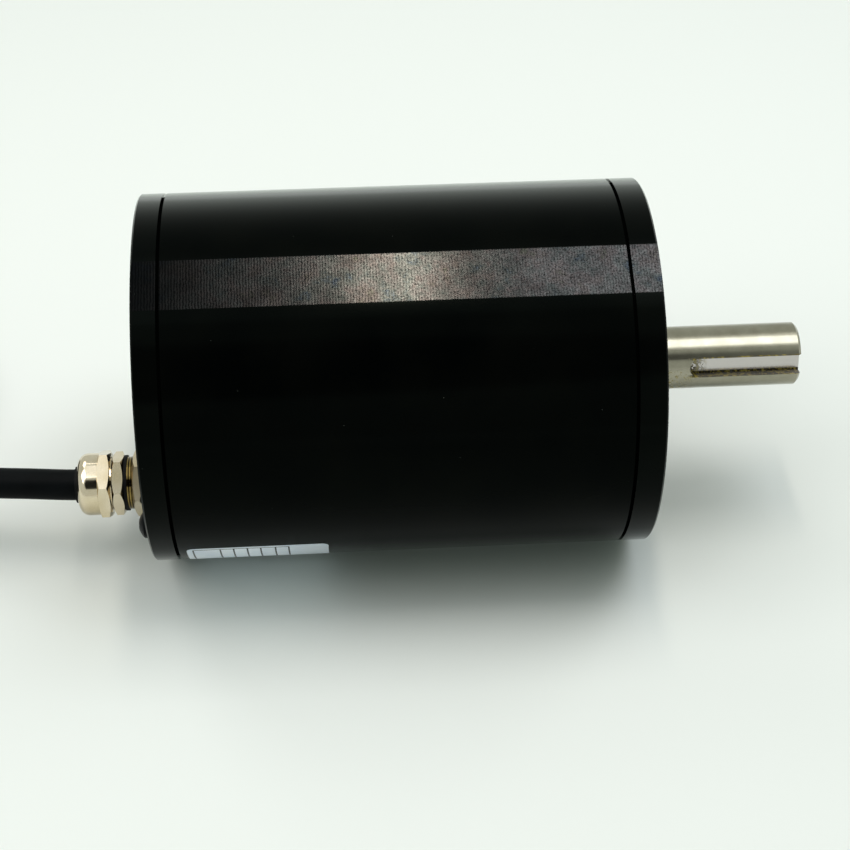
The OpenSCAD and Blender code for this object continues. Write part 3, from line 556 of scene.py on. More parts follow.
@dataclass(frozen=True)
class GroundShaftSteel:
    """Ground carbon steel with rust and old oil along the keyway's lower edge.

    The skin is a warm grey mirror with fine rings, the cut keyway is brighter, and
    the stains are matt, dark brown to yellow.
    """

    name: str = "carbon_steel_ground"
    steel: Stops = ((0.3, "#928e7d"), (0.7, "#a09c8c"))
    cut_steel: str = "#cbc6c2"  # the cutter left the keyway brighter than the skin
    rust: Stops = ((0.42, "#140d05"), (0.5, "#2f220b"), (0.57, "#ab9a4c"))
    metallic: Span = (1.0, 0.25)  # of the steel and of the rust
    roughness: Span = (0.2, 0.75)
    key_angle: float = 163.0  # where the keyway faces at rest, from +Y toward +Z
    key_half_mm: float = 3.0
    key_slack_mm: float = 0.01
    wall_mm: Span = (5.9, 8.7)  # the keyway's walls, from its floor to the skin
    out_mm: Span = (4.0, 5.5)  # what lies further out is on the keyway's side
    run_mm: Span = (14.0, 16.5)  # stations where the keyway's stains begin
    line_mm: float = 2.6  # middle of the oily line in the keyway's corner
    line_half_mm: Span = (0.3, 0.6)  # its solid core and its soft edge
    fleck_run_mm: Span = (6.0, 19.0)  # stations over which the loose flecks end
    below_mm: Span = (0.0, 1.5)  # the flecks lie from the keyway's middle down
    pool_mm: Span = (15.5, 21.0)  # stations over which the round end's rust ends
    rim_half_mm: float = 0.35  # the upper edge's thin rust
    ragged_span: Span = (0.2, 0.42)  # parts of the fleck noise that show as the line,
    pit_span: Span = (0.545, 0.585)  # as loose flecks
    bloom_span: Span = (0.44, 0.49)  # and as thin rust
    cloud_mm: float = 50 / 11  # mottling of the skin
    fleck_mm: float = 10 / 9  # size of the rust's flecks
    grinding_mm: float = 0.12  # grit marks of the wheel
    relief_mm: float = 0.002
    relief: float = 0.5

    def stain(self, tree: Tree, local: Sequence[Socket], fleck: Socket, cut: Socket) -> Socket:
        """Places the rust and the oil by the keyway's own frame.

        Args:
            tree: The material's node tree.
            local: The station, the distance out of the keyway, and down its side.
            fleck: The noise that breaks the stains up.
            cut: 1 in the keyway and 0 elsewhere.

        Returns:
            0 on clean steel to 1 on full rust.
        """
        station, out, side = local
        away = add_node(tree, "Math", [side, self.line_mm * MM], operation="SUBTRACT")[0]
        near = add_node(tree, "Math", [away], operation="ABSOLUTE")[0]
        outside, along, line, loose = (
            add_node(
                tree,
                "MapRange",
                [value, *(x * MM for x in span), *ends],
                interpolation_type="SMOOTHSTEP",
            )[0]
            for value, span, ends in (
                (out, self.out_mm, RISE),
                (station, self.run_mm, RISE),
                (near, self.line_half_mm, FALL),
                (station, self.fleck_run_mm, FALL),
            )
        )
        ragged, pit, bloom = (
            add_node(tree, "MapRange", [fleck, *span])[0]
            for span in (self.ragged_span, self.pit_span, self.bloom_span)
        )
        below = add_node(tree, "MapRange", [side, *(x * MM for x in self.below_mm)])[0]
        pool = add_node(tree, "MapRange", [station, *(x * MM for x in self.pool_mm), *FALL])[0]
        rim = add_node(
            tree,
            "Math",
            [side, -self.key_half_mm * MM, self.rim_half_mm * MM],
            operation="COMPARE",
        )[0]
        stains = []
        for first, *others in (
            (line, outside, along, ragged),  # the oily line along the keyway's lower edge
            (loose, pit, outside, below),  # flecks from the housing to its round end
            (pool, cut, bloom),  # rust in its round end
            (rim, along, outside, bloom),  # and thinly on its upper edge
        ):
            stains.append(first)
            for other in others:
                stains[-1] = add_node(tree, "Math", [stains[-1], other], operation="MULTIPLY")[0]
        most = stains[0]
        for stain in stains[1:]:
            most = add_node(tree, "Math", [most, stain], operation="MAXIMUM")[0]
        return most

    def build(self) -> bpy.types.Material:
        """Builds the finish.

        Returns:
            The material.
        """
        coat = Coat(self.name)
        tree, place = coat.tree, coat.place
        # turned so that local Y looks out of the keyway and local Z down its side
        turn = (-math.radians(self.key_angle), 0.0, 0.0)
        turned = add_node(tree, "Mapping", {"Vector": place, "Rotation": turn})[0]
        local = tuple(add_node(tree, "SeparateXYZ", [turned]))
        station, out, side = local
        cloud = add_node(
            tree, "TexNoise", {"Vector": place, "Scale": per_metre(self.cloud_mm), "Detail": 6.0}
        )[0]
        steel = add_node(tree, "ValToRGB", [cloud], self.steel)[0]
        foot, top = (x * MM for x in self.wall_mm)
        deep = add_node(
            tree, "Math", [out, (top + foot) / 2, (top - foot) / 2], operation="COMPARE"
        )[0]
        middle = add_node(
            tree,
            "Math",
            [side, 0.0, (self.key_half_mm + self.key_slack_mm) * MM],
            operation="COMPARE",
        )[0]
        cut = add_node(tree, "Math", [deep, middle], operation="MULTIPLY")[0]
        metal = add_node(
            tree, "Mix", {0: cut, 6: steel, 7: colour(self.cut_steel)}, data_type="RGBA"
        )[2]
        fleck = add_node(
            tree,
            "TexNoise",
            {"Vector": place, "Scale": per_metre(self.fleck_mm), "Detail": 6.0, "Roughness": 0.7},
        )[0]
        stain = self.stain(tree, local, fleck, cut)
        rust = add_node(tree, "ValToRGB", [fleck], self.rust)[0]
        surface = add_node(tree, "Mix", {0: stain, 6: metal, 7: rust}, data_type="RGBA")[2]
        metallic, rough = (
            add_node(tree, "MapRange", [stain, *RISE, *span])[0]
            for span in (self.metallic, self.roughness)
        )
        rings = add_node(
            tree,
            "TexNoise",
            {"W": station, "Scale": per_metre(self.grinding_mm), "Detail": 2.0},
            noise_dimensions="1D",
        )[0]
        inputs = {"Base Color": surface, "Metallic": metallic, "Roughness": rough}
        return coat.close(inputs, rings, self.relief, self.relief_mm)


@dataclass(frozen=True)
class LabelVinyl:
    """White satin vinyl with thin printed rules and nothing written in the cells."""

    name: str = "vinyl_label_printed_rules"
    paper: Stops = ((0.35, "#dce6f4"), (0.65, "#ecf2fb"))
    ink: str = "#17191c"
    roughness: float = 0.42
    columns_mm: tuple[float, ...] = (1.9, 9.8, 13.7, 17.7, 21.6, 25.9, 29.8)
    rows_mm: tuple[float, ...] = (1.3, 17.1, 22.5, 27.9, 33.3, 38.1)
    rule_mm: float = 0.45
    cloud_mm: float = 100 / 9
    relief_mm: float = 0.01
    relief: float = 0.3

    def rules(self, tree: Tree) -> Socket:
        """Draws the rules on the UV map, in metres along and round the housing.

        Args:
            tree: The material's node tree.

        Returns:
            1 on a rule and 0 elsewhere.
        """
        flat = add_node(tree, "UVMap", uv_map="label")[0]
        x, y, _ = add_node(tree, "SeparateXYZ", [flat])
        drawn = None
        for across, places, along, ends in (
            (x, self.columns_mm, y, self.rows_mm),
            (y, self.rows_mm, x, self.columns_mm),
        ):
            middle, half = (ends[0] + ends[-1]) / 2 * MM, (ends[-1] - ends[0]) / 2 * MM
            within = add_node(tree, "Math", [along, middle, half], operation="COMPARE")[0]
            for place in places:
                rule = add_node(
                    tree, "Math", [across, place * MM, self.rule_mm / 2 * MM], operation="COMPARE"
                )[0]
                rule = add_node(tree, "Math", [rule, within], operation="MULTIPLY")[0]
                if drawn is not None:
                    rule = add_node(tree, "Math", [drawn, rule], operation="MAXIMUM")[0]
                drawn = rule
        return drawn

    def build(self) -> bpy.types.Material:
        """Builds the finish.

        Returns:
            The material.
        """
        coat = Coat(self.name)
        tree = coat.tree
        cloud = add_node(
            tree,
            "TexNoise",
            {"Vector": coat.place, "Scale": per_metre(self.cloud_mm), "Detail": 3.0},
        )[0]
        paper = add_node(tree, "ValToRGB", [cloud], self.paper)[0]
        print_colour = add_node(
            tree,
            "Mix",
            {0: self.rules(tree), 6: paper, 7: colour(self.ink)},
            data_type="RGBA",
        )[2]
        inputs = {"Base Color": print_colour, "Roughness": self.roughness}
        return coat.close(inputs, cloud, self.relief, self.relief_mm)


NICKEL_PLATE = TurnedMetal(
    "brass_nickel_plated",
    "#e6d9c2",
    "#d8c8a8",
    roughness=0.11,
    ring_mm=0.25,
    relief_mm=0.001,
    cloud_mm=12.0,
)


class Finish(Enum):
    """Every finish of the motor, by what it is and how it was made."""

    TUBE = AnodisedAluminium()
    CAPS = AnodisedAluminium("anodised_aluminium_end_caps", specular=0.035)
    SHAFT = GroundShaftSteel()
    LABEL = LabelVinyl()
    # black with a faint sheen
    BLACK_OXIDE = TurnedMetal(
        "steel_black_oxide", "#1b1c1e", "#101112", roughness=0.42, ring_mm=0.3
    )
    # a clean grey mirror
    BEARING_STEEL = TurnedMetal(
        "bearing_steel_lapped",
        "#c4c6c8",
        "#aeb0b2",
        roughness=0.14,
        ring_mm=0.1,
        relief_mm=0.001,
    )
    # dark blue-grey, half bright
    SPRING_STEEL = TurnedMetal("spring_steel_blued", "#5a5d61", "#44474b", roughness=0.35)
    # dull grey, ribbed by the edges of the sheets
    LAMINATION = TurnedMetal(
        "silicon_steel_laminated",
        "#7b7d80",
        "#636568",
        roughness=0.45,
        ring_mm=0.5,
        relief_mm=0.02,
    )
    # greys, soft and satin
    MAGNET = TurnedMetal("magnet_nickel_coated", "#8d9092", "#7c7f81", roughness=0.3)
    SLEEVE = TurnedMetal("stainless_steel_drawn", "#a9abad", "#95979a", roughness=0.28)
    # warm yellow, half bright
    BALANCE_BRASS = TurnedMetal("brass_turned", "#c2a45a", "#a98a45", roughness=0.25)
    # warm silver: a mirror, satin where the bath left it dull, and worn off the thread
    NICKEL = NICKEL_PLATE
    SATIN_NICKEL = replace(NICKEL_PLATE, name="brass_nickel_plated_satin", roughness=0.36)
    PLATED_THREAD = replace(
        NICKEL_PLATE, name="brass_nickel_plated_thread_bare", bare_mm=(-155.82, -154.08)
    )
    # red-brown under lacquer, ribbed by the turns
    COPPER = TurnedMetal(
        "copper_wire_enamelled",
        "#a9602f",
        "#7e4420",
        roughness=0.3,
        ring_mm=0.9,
        relief_mm=0.06,
    )
    # pale silver strands
    TINNED = TurnedMetal(
        "copper_strand_tinned",
        "#c6c9cc",
        "#a5a8ab",
        roughness=0.3,
        ring_mm=0.4,
        relief_mm=0.02,
    )
    # dull black with a soft grain
    RUBBER = Moulded(
        "rubber_nitrile_moulded",
        "#0f0f10",
        "#080809",
        roughness=0.62,
        grain_mm=0.3,
        relief_mm=0.02,
        specular=0.12,
    )
    # deep black with hardly a sheen
    JACKET = Moulded(
        "pvc_jacket_extruded",
        "#06090b",
        "#030506",
        roughness=0.5,
        grain_mm=0.5,
        relief_mm=0.012,
        specular=0.05,
    )
    # plain colours with a slight sheen
    IVORY = Moulded("polyamide_moulded_ivory", "#d9d4c4", "#c9c3b0", roughness=0.5)
    DARK_PLASTIC = Moulded("polyamide_moulded_dark", "#24272a", "#1a1c1f", roughness=0.5)
    BOARD = Moulded("glass_epoxy_solder_mask", "#1f5e38", "#174a2b", roughness=0.35)
    CORE_YELLOW = Moulded("pvc_core_yellow", "#d8b52a", "#c7a31f", roughness=0.4)
    CORE_BLUE = Moulded("pvc_core_blue", "#2b56b8", "#2149a2", roughness=0.4)
    CORE_GREEN = Moulded("pvc_core_green", "#2f8f46", "#267a3a", roughness=0.4)
    CORE_RED = Moulded("pvc_core_red", "#b3261e", "#9c1f18", roughness=0.4)
    CORE_BLACK = Moulded("pvc_core_black", "#1c1c1d", "#141415", roughness=0.4)
    CORE_WHITE = Moulded("pvc_core_white", "#dcdcd7", "#cfcfc9", roughness=0.4)

    def material(self) -> bpy.types.Material:
        """Returns the finish's material, built once."""
        return bpy.data.materials.get(self.value.name) or self.value.build()


# the studio


@dataclass(frozen=True)
class SoftBox:
    """One soft rectangular lamp."""

    name: str
    place: Point  # in metres, as all sizes of the studio
    aim: Point
    size: Span
    watts: float
    tint: str

    def hang(self) -> None:
        """Hangs the lamp in its place, turned toward its aim."""
        data = bpy.data.lights.new(self.name, "AREA")
        data.shape = "RECTANGLE"
        data.size, data.size_y = self.size
        data.energy = self.watts
        data.color = colour(self.tint)[:3]
        lamp = bpy.data.objects.new(self.name, data)
        lamp.location = self.place
        toward = Vector(self.aim) - Vector(self.place)
        lamp.rotation_euler = toward.to_track_quat("-Z", "Y").to_euler()
        bpy.context.scene.collection.objects.link(lamp)


@dataclass(frozen=True)
class Studio:
    """Camera, pale floor, soft boxes and pale surround, fitted to the photograph."""

    eye: Point = (-0.0929966, -0.4258908, 0.3573648)
    right: Point = (0.99794946, -0.06392293, 0.00327642)
    down: Point = (-0.04012724, -0.66469544, -0.74603604)
    forward: Point = (0.04986663, 0.74437479, -0.66589751)
    lens_mm: float = 77.484
    sensor_mm: float = 36.0
    clip_start: float = 0.01
    floor_half: float = 2.5
    paper: str = "#f0f3f1"
    paper_roughness: float = 0.9
    paper_specular: float = 0.1
    backdrop: str = "#f0f5f1"
    backdrop_from: float = 0.36
    backdrop_to: float = 0.8
    room: tuple[str, str] = ("#e6f9eb", "#eef5ee")  # as it lights, and as metal mirrors it
    room_level: float = 0.28  # how strongly it lights matt surfaces
    mirror_height: Span = (0.5, 1.0)  # metal mirrors pale walls and a dimmer ceiling
    mirror_level: Span = (0.75, 0.6)
    hood_cosine: Span = (0.945, 0.963)  # what stands round the camera, dark in metal
    hood_level: float = 0.02
    lamps: tuple[SoftBox, ...] = (
        # name, place, aim, width and depth, watts, tint
        SoftBox(
            "strip_box", (-0.042, 0.05, 0.88), (-0.042, 0.05, 0.0), (0.05, 0.5), 1.6, "#fff6e4"
        ),
        SoftBox("soft_box", (0.255, 0.05, 0.9), (0.255, 0.05, 0.0), (0.41, 0.5), 1.85, "#f2f8ff"),
        SoftBox("ceiling_box", (0.0, 0.1, 1.2), (0.0, 0.1, 0.0), (1.6, 1.0), 3.7, "#fbfcff"),
        SoftBox("left_box", (-0.6, -0.18, 0.7), (-0.1, 0.0, 0.0), (0.6, 0.6), 2.6, "#fffefc"),
        SoftBox("right_box", (0.6, 0.4, 0.75), (0.05, 0.1, 0.0), (0.5, 0.5), 1.45, "#fffefc"),
        SoftBox("back_box", (-0.55, 0.6, 0.8), (-0.1, 0.2, 0.0), (0.4, 0.4), 1.3, "#fffefc"),
    )

    def set_camera(self) -> None:
        """Places the camera at the photograph's solved viewpoint."""
        data = bpy.data.cameras.new("camera")
        data.lens = self.lens_mm
        data.sensor_width = self.sensor_mm
        data.clip_start = self.clip_start
        camera = bpy.data.objects.new("camera", data)
        axes = Matrix((self.right, -Vector(self.down), -Vector(self.forward))).transposed()
        camera.matrix_world = Matrix.Translation(self.eye) @ axes.to_4x4()
        bpy.context.scene.collection.objects.link(camera)
        bpy.context.scene.camera = camera

    def lay_floor(self) -> None:
        """Lays one pale matt floor that keeps the motor's shadow."""
        bm = bmesh.new()
        bmesh.ops.create_grid(bm, x_segments=4, y_segments=4, size=self.floor_half)
        bmesh.ops.translate(bm, verts=bm.verts, vec=(0, 0, FLOOR_MM * MM))
        floor = piece_from(bm, "floor", smooth=False)
        coat = Coat("paper_backdrop_matte")
        tree = coat.tree
        matt = add_node(
            tree,
            "BsdfPrincipled",
            {
                "Base Color": colour(self.paper),
                "Roughness": self.paper_roughness,
                "Specular IOR Level": self.paper_specular,
            },
        )[0]
        # far from the lamps the eye and the metal see the backdrop's plain colour
        away = add_node(tree, "VectorMath", [coat.place], operation="LENGTH")["Value"]
        far = add_node(
            tree,
            "MapRange",
            [away, self.backdrop_from, self.backdrop_to],
            interpolation_type="SMOOTHSTEP",
        )[0]
        rays = add_node(tree, "LightPath")
        seen = rays["Is Camera Ray"]
        for ray in ("Is Glossy Ray", "Is Transmission Ray"):
            seen = add_node(tree, "Math", [seen, rays[ray]], operation="MAXIMUM")[0]
        share = add_node(tree, "Math", [far, seen], operation="MULTIPLY")[0]
        plain = add_node(tree, "Emission", {"Color": colour(self.backdrop), "Strength": 1.0})[0]
        both = add_node(tree, "MixShader", [share, matt, plain])[0]
        add_node(tree, "OutputMaterial", {"Surface": both})
        wear(floor, coat.material)

    def light(self) -> None:
        """Hangs the soft boxes and sets the surround that lights and is mirrored."""
        for lamp in self.lamps:
            lamp.hang()
        world = bpy.data.worlds.new("surround")
        world.use_nodes = True
        tree = world.node_tree
        tree.nodes.clear()
        rays = add_node(tree, "LightPath")
        toward = add_node(tree, "TexCoord")["Generated"]
        height = add_node(tree, "SeparateXYZ", [toward])["Z"]
        walls = add_node(tree, "MapRange", [height, *self.mirror_height, *self.mirror_level])[0]
        facing = add_node(
            tree, "VectorMath", [toward, tuple(-Vector(self.forward))], operation="DOT_PRODUCT"
        )["Value"]
        hood = add_node(tree, "MapRange", [facing, *self.hood_cosine, 1.0, self.hood_level])[0]
        mirrored = add_node(tree, "Math", [walls, hood], operation="MULTIPLY")[0]
        glossy = rays["Is Glossy Ray"]
        level = add_node(
            tree, "Mix", {0: glossy, 2: self.room_level, 3: mirrored}, data_type="FLOAT"
        )[0]
        tints = {6: colour(self.room[0]), 7: colour(self.room[1])}
        tint = add_node(tree, "Mix", {0: glossy, **tints}, data_type="RGBA")[2]
        lit = add_node(tree, "Background", {"Color": tint, "Strength": level})[0]
        pale = add_node(tree, "Background", {"Color": colour(self.backdrop), "Strength": 1.0})[0]
        seen = add_node(
            tree,
            "Math",
            [rays["Is Camera Ray"], rays["Is Transmission Ray"]],
            operation="MAXIMUM",
        )[0]
        both = add_node(tree, "MixShader", [seen, lit, pale])[0]
        add_node(tree, "OutputWorld", {"Surface": both})
        bpy.context.scene.world = world
        bpy.context.scene.view_settings.view_transform = "Standard"


# the flying lead


class Core(NamedTuple):
    """One insulated wire inside the cable."""

    name: str
    finish: Finish
    diameter_mm: float
    share: float  # the circle it lies on, over the cable's diameter
    angle: float  # its place on that circle, in degrees
    side: float  # its place on the floor, in fan steps


@dataclass
class FlyingLead:
    """The cable from the gland's mouth to its stripped end, as one route."""

    diameter_mm: float = 9.4
    mouth_mm: Point = (-171.6, -16.9574, -27.1375)
    steps_mm: tuple[Point, ...] = (
        (-18.0, 2.0, -0.3),
        (-36.0, 5.4, -2.6),
        (-54.0, 6.6, -6.6),
        (-73.0, 4.6, -11.0),
    )
    run_mm: Span = (91.0, 3.0)  # from the mouth to the coil, back and across
    straight_mm: float = 18.0  # how far the run keeps its heading past either end
    knots_per_step: int = 6
    layer_gap_mm: float = 0.8
    coil_turns: float = 1.25  # in each layer
    climb_turns: float = 0.5  # between the layers
    coil_radius_mm: float = 56.0
    start_angle: float = -90.0  # degrees round the coil from +X
    rings_per_turn: int = 48
    core_length_mm: float = 46.0
    core_knots: int = 16
    fan_step_mm: float = 5.0
    thick_mm: float = 2.0  # a radius from which a tube gets the finer section
    sections: tuple[int, int] = (6, 3)  # bevel steps of a thick and of a thin tube
    length_m: float = 1.024
    cores: tuple[Core, ...] = (
        # name, finish, diameter, circle in the cable, angle, place on the floor
        Core("core_power_blue", Finish.CORE_BLUE, 2.6, 0.255, 210, -2.6),
        Core("core_power_yellow", Finish.CORE_YELLOW, 2.6, 0.255, 90, 0.6),
        Core("core_power_green", Finish.CORE_GREEN, 2.6, 0.255, 330, 2.6),
        Core("core_signal_red", Finish.CORE_RED, 1.3, 0.36, 162, -4.3),
        Core("core_signal_black", Finish.CORE_BLACK, 1.3, 0.36, 138, -3.5),
        Core("core_signal_white", Finish.CORE_WHITE, 1.3, 0.36, 270, -0.7),
        Core("core_signal_green", Finish.CORE_GREEN, 1.3, 0.36, 42, 3.5),
        Core("core_signal_blue", Finish.CORE_BLUE, 1.3, 0.36, 18, 4.3),
    )

    def layer_pitch(self) -> float:
        """Returns the distance between neighbouring turns, in millimetres."""
        return self.diameter_mm + self.layer_gap_mm

    def run_end(self) -> Vector:
        """Returns where the run meets the coil's upper layer, in millimetres."""
        x, y, _ = self.mouth_mm
        height = FLOOR_MM + self.diameter_mm / 2 + self.layer_pitch()
        return Vector((x - self.run_mm[0], y + self.run_mm[1], height))

    def run_points(self) -> list[Vector]:
        """Follows the free run on one smooth curve through the route's points.

        Returns:
            Points in millimetres, from the gland's mouth to the coil.
        """
        mouth = Vector(self.mouth_mm)
        end = self.run_end()
        knots = [mouth, *(mouth + Vector(s) for s in self.steps_mm), end]
        ahead = Vector((self.straight_mm, 0, 0))
        padded = [knots[0] + ahead, *knots, knots[-1] - ahead]
        points: list[Vector] = []
        for a, b, c, d in zip(padded, padded[1:], padded[2:], padded[3:]):
            # a Catmull-Rom curve from b to c
            for i in range(self.knots_per_step):
                t = i / self.knots_per_step
                points.append(
                    0.5
                    * (
                        2 * b
                        + (c - a) * t
                        + (2 * a - 5 * b + 4 * c - d) * t**2
                        + (3 * b - a - 3 * c + d) * t**3
                    )
                )
        return [*points, end]

    def coil_point(self, turn: float) -> Vector:
        """Gives the coil's centreline after so many turns.

        Args:
            turn: Turns from where the cable runs onto the upper layer.

        Returns:
            The point, in millimetres.
        """
        # wound inward on the upper layer, eased down, and wound outward on the floor
        pitch = self.layer_pitch()
        inner = self.coil_radius_mm - pitch * self.coil_turns
        share = min(1.0, max(0.0, (turn - self.coil_turns) / self.climb_turns))
        if turn <= self.coil_turns:
            radius = self.coil_radius_mm - pitch * turn
        elif turn >= self.coil_turns + self.climb_turns:
            radius = inner + pitch * (turn - self.coil_turns - self.climb_turns)
        else:
            radius = inner - pitch * self.climb_turns * (share - share**2)
        start = self.run_end()
        angle = math.radians(self.start_angle - 360 * turn)
        return Vector(
            (
                start.x - self.diameter_mm + radius * math.cos(angle),
                start.y + self.coil_radius_mm + radius * math.sin(angle),
                start.z - pitch * share * share * (3 - 2 * share),
            )
        )

    def route(self) -> list[Vector]:
        """Joins the run and the coil.

        Returns:
            The whole centreline, in metres.
        """
        turns = 2 * self.coil_turns + self.climb_turns
        count = round(turns * self.rings_per_turn)
        wound = [self.coil_point(turns * i / count) for i in range(count + 1)]
        tail = wound[-1] - Vector((self.diameter_mm, 0, 0))
        return [p * MM for p in [*self.run_points(), *wound, tail]]

    def tube(
        self, name: str, points: Iterable[Vector], radius_mm: float, finish: Finish
    ) -> Piece:
        """Makes a round flexible piece along its centreline.

        Args:
            name: The piece's name.
            points: The centreline, in metres.
            radius_mm: Half the piece's thickness.
            finish: Its finish.

        Returns:
            The curve object.
        """
        line = list(points)
        data = bpy.data.curves.new(name, "CURVE")
        data.dimensions = "3D"
        data.bevel_depth = radius_mm * MM
        data.bevel_resolution = self.sections[0 if radius_mm > self.thick_mm else 1]
        data.use_fill_caps = True
        spline = data.splines.new("POLY")
        spline.points.add(len(line) - 1)
        for knot, p in zip(spline.points, line):
            knot.co = (*p, 1.0)
        spline.use_smooth = True
        piece = bpy.data.objects.new(name, data)
        bpy.context.scene.collection.objects.link(piece)
        wear(piece, finish.material())
        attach(piece, "housing")
        return piece

    def core_points(self, core: Core, end: Vector) -> list[Vector]:
        """Fans one core out from the jacket's end onto the floor.

        Args:
            core: The core.
            end: The jacket's end, in millimetres.

        Returns:
            The core's centreline, in metres.
        """
        ring = self.diameter_mm * core.share
        turn = math.radians(core.angle)
        start = end + Vector((0, ring * math.cos(turn), ring * math.sin(turn)))
        rest = FLOOR_MM + core.diameter_mm / 2
        stop = Vector((end.x - self.core_length_mm, end.y + core.side * self.fan_step_mm, rest))
        points = []
        for i in range(self.core_knots + 1):
            t = i / self.core_knots
            s = t * t * (3 - 2 * t)
            point = Vector(
                (
                    start.x + (stop.x - start.x) * t,
                    start.y + (stop.y - start.y) * s,
                    start.z + (stop.z - start.z) * s,
                )
            )
            points.append(point * MM)
        return points

    def build(self) -> list[Piece]:
        """Returns:
            The jacket and the cores.
        """
        route = self.route()
        jacket = self.tube("lead_jacket", route, self.diameter_mm / 2, Finish.JACKET)
        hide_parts("cable_run", "cable_coil")
        end = route[-1] / MM
        cores = [
            self.tube(core.name, self.core_points(core, end), core.diameter_mm / 2, core.finish)
            for core in self.cores
        ]
        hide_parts("cable_cores")
        return [jacket, *cores]


# the sub-assemblies whose pieces are CAD nodes

Dressing = tuple[tuple[str, Finish], ...]


@dataclass
class Assembly:
    """Pieces that keep their CAD shape and take a finish."""

    finishes: Dressing

    def dress(self) -> list[Piece]:
        """Gives each CAD node its finish.

        Returns:
            The nodes.
        """
        nodes = []
        for name, finish in self.finishes:
            nodes.append(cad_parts[name])
            wear(nodes[-1], finish.material())
        return nodes


@dataclass
class Housing(Assembly):
    """Tube, end caps, their screws and the bare ruled label."""

    finishes: Dressing = (
        ("housing_tube", Finish.TUBE),
        ("front_cap", Finish.CAPS),
        ("rear_cap", Finish.CAPS),
        ("front_cap_screws", Finish.BLACK_OXIDE),
        ("rear_cap_screws", Finish.BLACK_OXIDE),
        ("earth_screw", Finish.BLACK_OXIDE),
        ("shaft_seal", Finish.RUBBER),
    )
    radius_mm: float = 55.0
    label_x_mm: Span = (-137.3, -95.9)
    label_angle: float = 206.0  # its upper edge
    label_height_mm: float = 39.0
    label_corner_mm: float = 2.0
    label_thickness_mm: float = 0.08
    label_gap_mm: float = 0.02  # under it, for the glue
    label_strips: int = 26  # round the tube

    def build_label(self) -> Piece:
        """Cuts the label flat, writes its UV map and bends it round the tube.

        Returns:
            The label.
        """
        start, stop = self.label_x_mm
        height = self.label_height_mm
        bm = bmesh.new()
        # a unit square with a corner at the origin, stretched to the label's size
        bmesh.ops.create_grid(bm, x_segments=1, y_segments=1, size=0.5)
        bmesh.ops.translate(bm, verts=bm.verts, vec=(0.5, 0.5, 0))
        bmesh.ops.scale(bm, verts=bm.verts, vec=(stop - start, height, 1))
        bmesh.ops.bevel(
            bm,
            geom=list(bm.verts),
            offset=self.label_corner_mm,
            segments=8,
            profile=0.5,
            affect="VERTICES",
            material=-1,
        )
        for i in range(1, self.label_strips):
            bmesh.ops.bisect_plane(
                bm,
                geom=[*bm.verts, *bm.edges, *bm.faces],
                plane_co=(0, height * i / self.label_strips, 0),
                plane_no=(0, 1, 0),
            )
        uv = bm.loops.layers.uv.new("label")
        for face in bm.faces:
            for loop in face.loops:
                loop[uv].uv = (loop.vert.co.x * MM, loop.vert.co.y * MM)
        for vert in bm.verts:
            turn = self.label_angle + math.degrees(vert.co.y / self.radius_mm)
            vert.co = axis_angle(turn, self.radius_mm + self.label_gap_mm, start + vert.co.x)
        label = piece_from(bm, "rating_label")
        middle = label.data.polygons[len(label.data.polygons) // 2]
        if middle.normal.dot(Vector((0, middle.center.y, middle.center.z))) < 0:
            label.data.flip_normals()
        shell = label.modifiers.new("thickness", "SOLIDIFY")
        shell.thickness = self.label_thickness_mm * MM
        shell.offset = 1.0
        wear(label, Finish.LABEL.material())
        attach(label, "housing")
        return label


@dataclass
class OutputShaft(Assembly):
    """The keyed shaft and what turns with it."""

    finishes: Dressing = (
        ("shaft", Finish.SHAFT),
        ("front_bearing_inner", Finish.BEARING_STEEL),
        ("rear_bearing_inner", Finish.BEARING_STEEL),
        ("rotor_core", Finish.LAMINATION),
        ("rotor_magnets", Finish.MAGNET),
        ("rotor_sleeve", Finish.SLEEVE),
        ("rotor_end_rings", Finish.BALANCE_BRASS),
    )


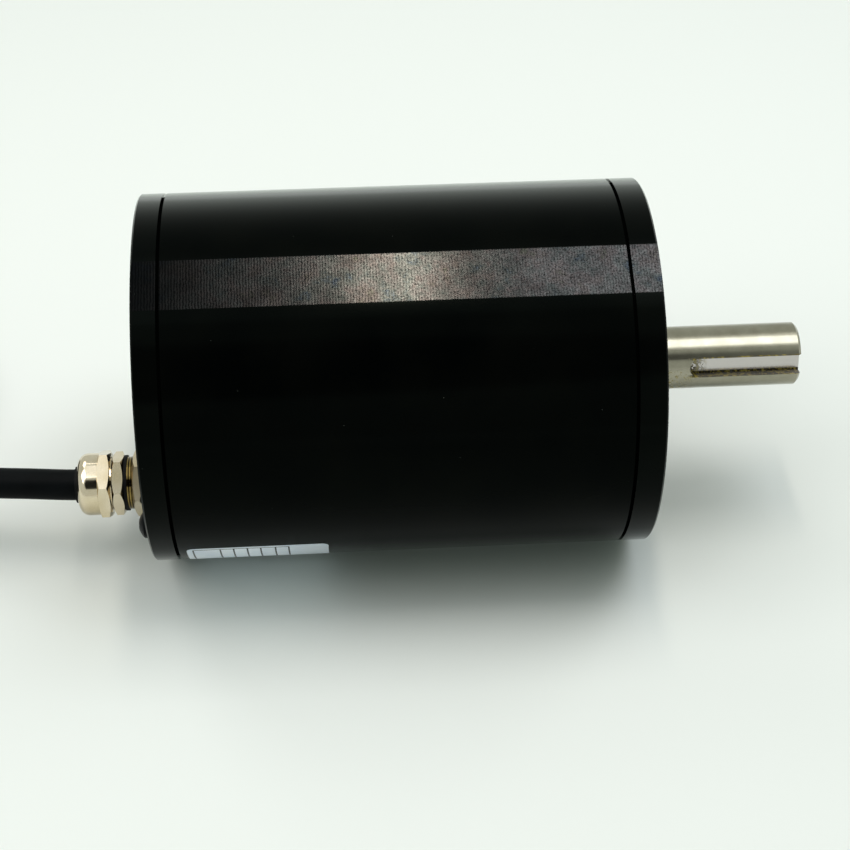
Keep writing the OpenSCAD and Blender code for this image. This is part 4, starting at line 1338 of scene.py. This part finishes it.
@dataclass
class CableGland(Assembly):
    """The plated gland on the rear cap, and the cable that it holds."""

    finishes: Dressing = (
        ("gland_locknut", Finish.SATIN_NICKEL),
        ("gland_body", Finish.PLATED_THREAD),
        ("gland_dome_nut", Finish.NICKEL),
        ("gland_gasket", Finish.RUBBER),
        ("gland_seal", Finish.RUBBER),
        ("gland_claw", Finish.DARK_PLASTIC),
        ("cable_entry", Finish.JACKET),
        ("inner_leads", Finish.CORE_YELLOW),
        ("core_tips", Finish.TINNED),
    )


@dataclass
class Insides(Assembly):
    """Bearings, stator and sensor board, closed in by the housing."""

    finishes: Dressing = (
        ("front_cap_o_ring", Finish.RUBBER),
        ("rear_cap_o_ring", Finish.RUBBER),
        ("bearing_circlip", Finish.SPRING_STEEL),
        ("wave_washer", Finish.SPRING_STEEL),
        ("front_bearing_outer", Finish.BEARING_STEEL),
        ("rear_bearing_outer", Finish.BEARING_STEEL),
        ("front_bearing_shields", Finish.SPRING_STEEL),
        ("rear_bearing_shields", Finish.SPRING_STEEL),
        ("front_bearing_cage", Finish.BALANCE_BRASS),
        ("rear_bearing_cage", Finish.BALANCE_BRASS),
        ("front_bearing_balls", Finish.BEARING_STEEL),
        ("rear_bearing_balls", Finish.BEARING_STEEL),
        ("stator_core", Finish.LAMINATION),
        ("stator_insulators", Finish.IVORY),
        ("windings", Finish.COPPER),
        ("sensor_board", Finish.BOARD),
        ("hall_sensors", Finish.DARK_PLASTIC),
        ("board_screws", Finish.BEARING_STEEL),
    )


def main() -> None:
    """Sets the camera, builds and dresses the motor, cord first, and reports it."""
    logging.basicConfig(level=logging.INFO, format="%(name)s %(message)s")
    studio = Studio()
    studio.set_camera()
    pieces = FlyingLead().build()
    studio.lay_floor()
    studio.light()
    housing = Housing()
    pieces += [*housing.dress(), housing.build_label()]
    for assembly in (OutputShaft(), CableGland(), Insides()):
        pieces += assembly.dress()
    for piece in pieces:
        LOG.info("%s: %s mm", piece.name, [round(d / MM, 1) for d in piece.dimensions])


if __name__ == "__main__":
    main()
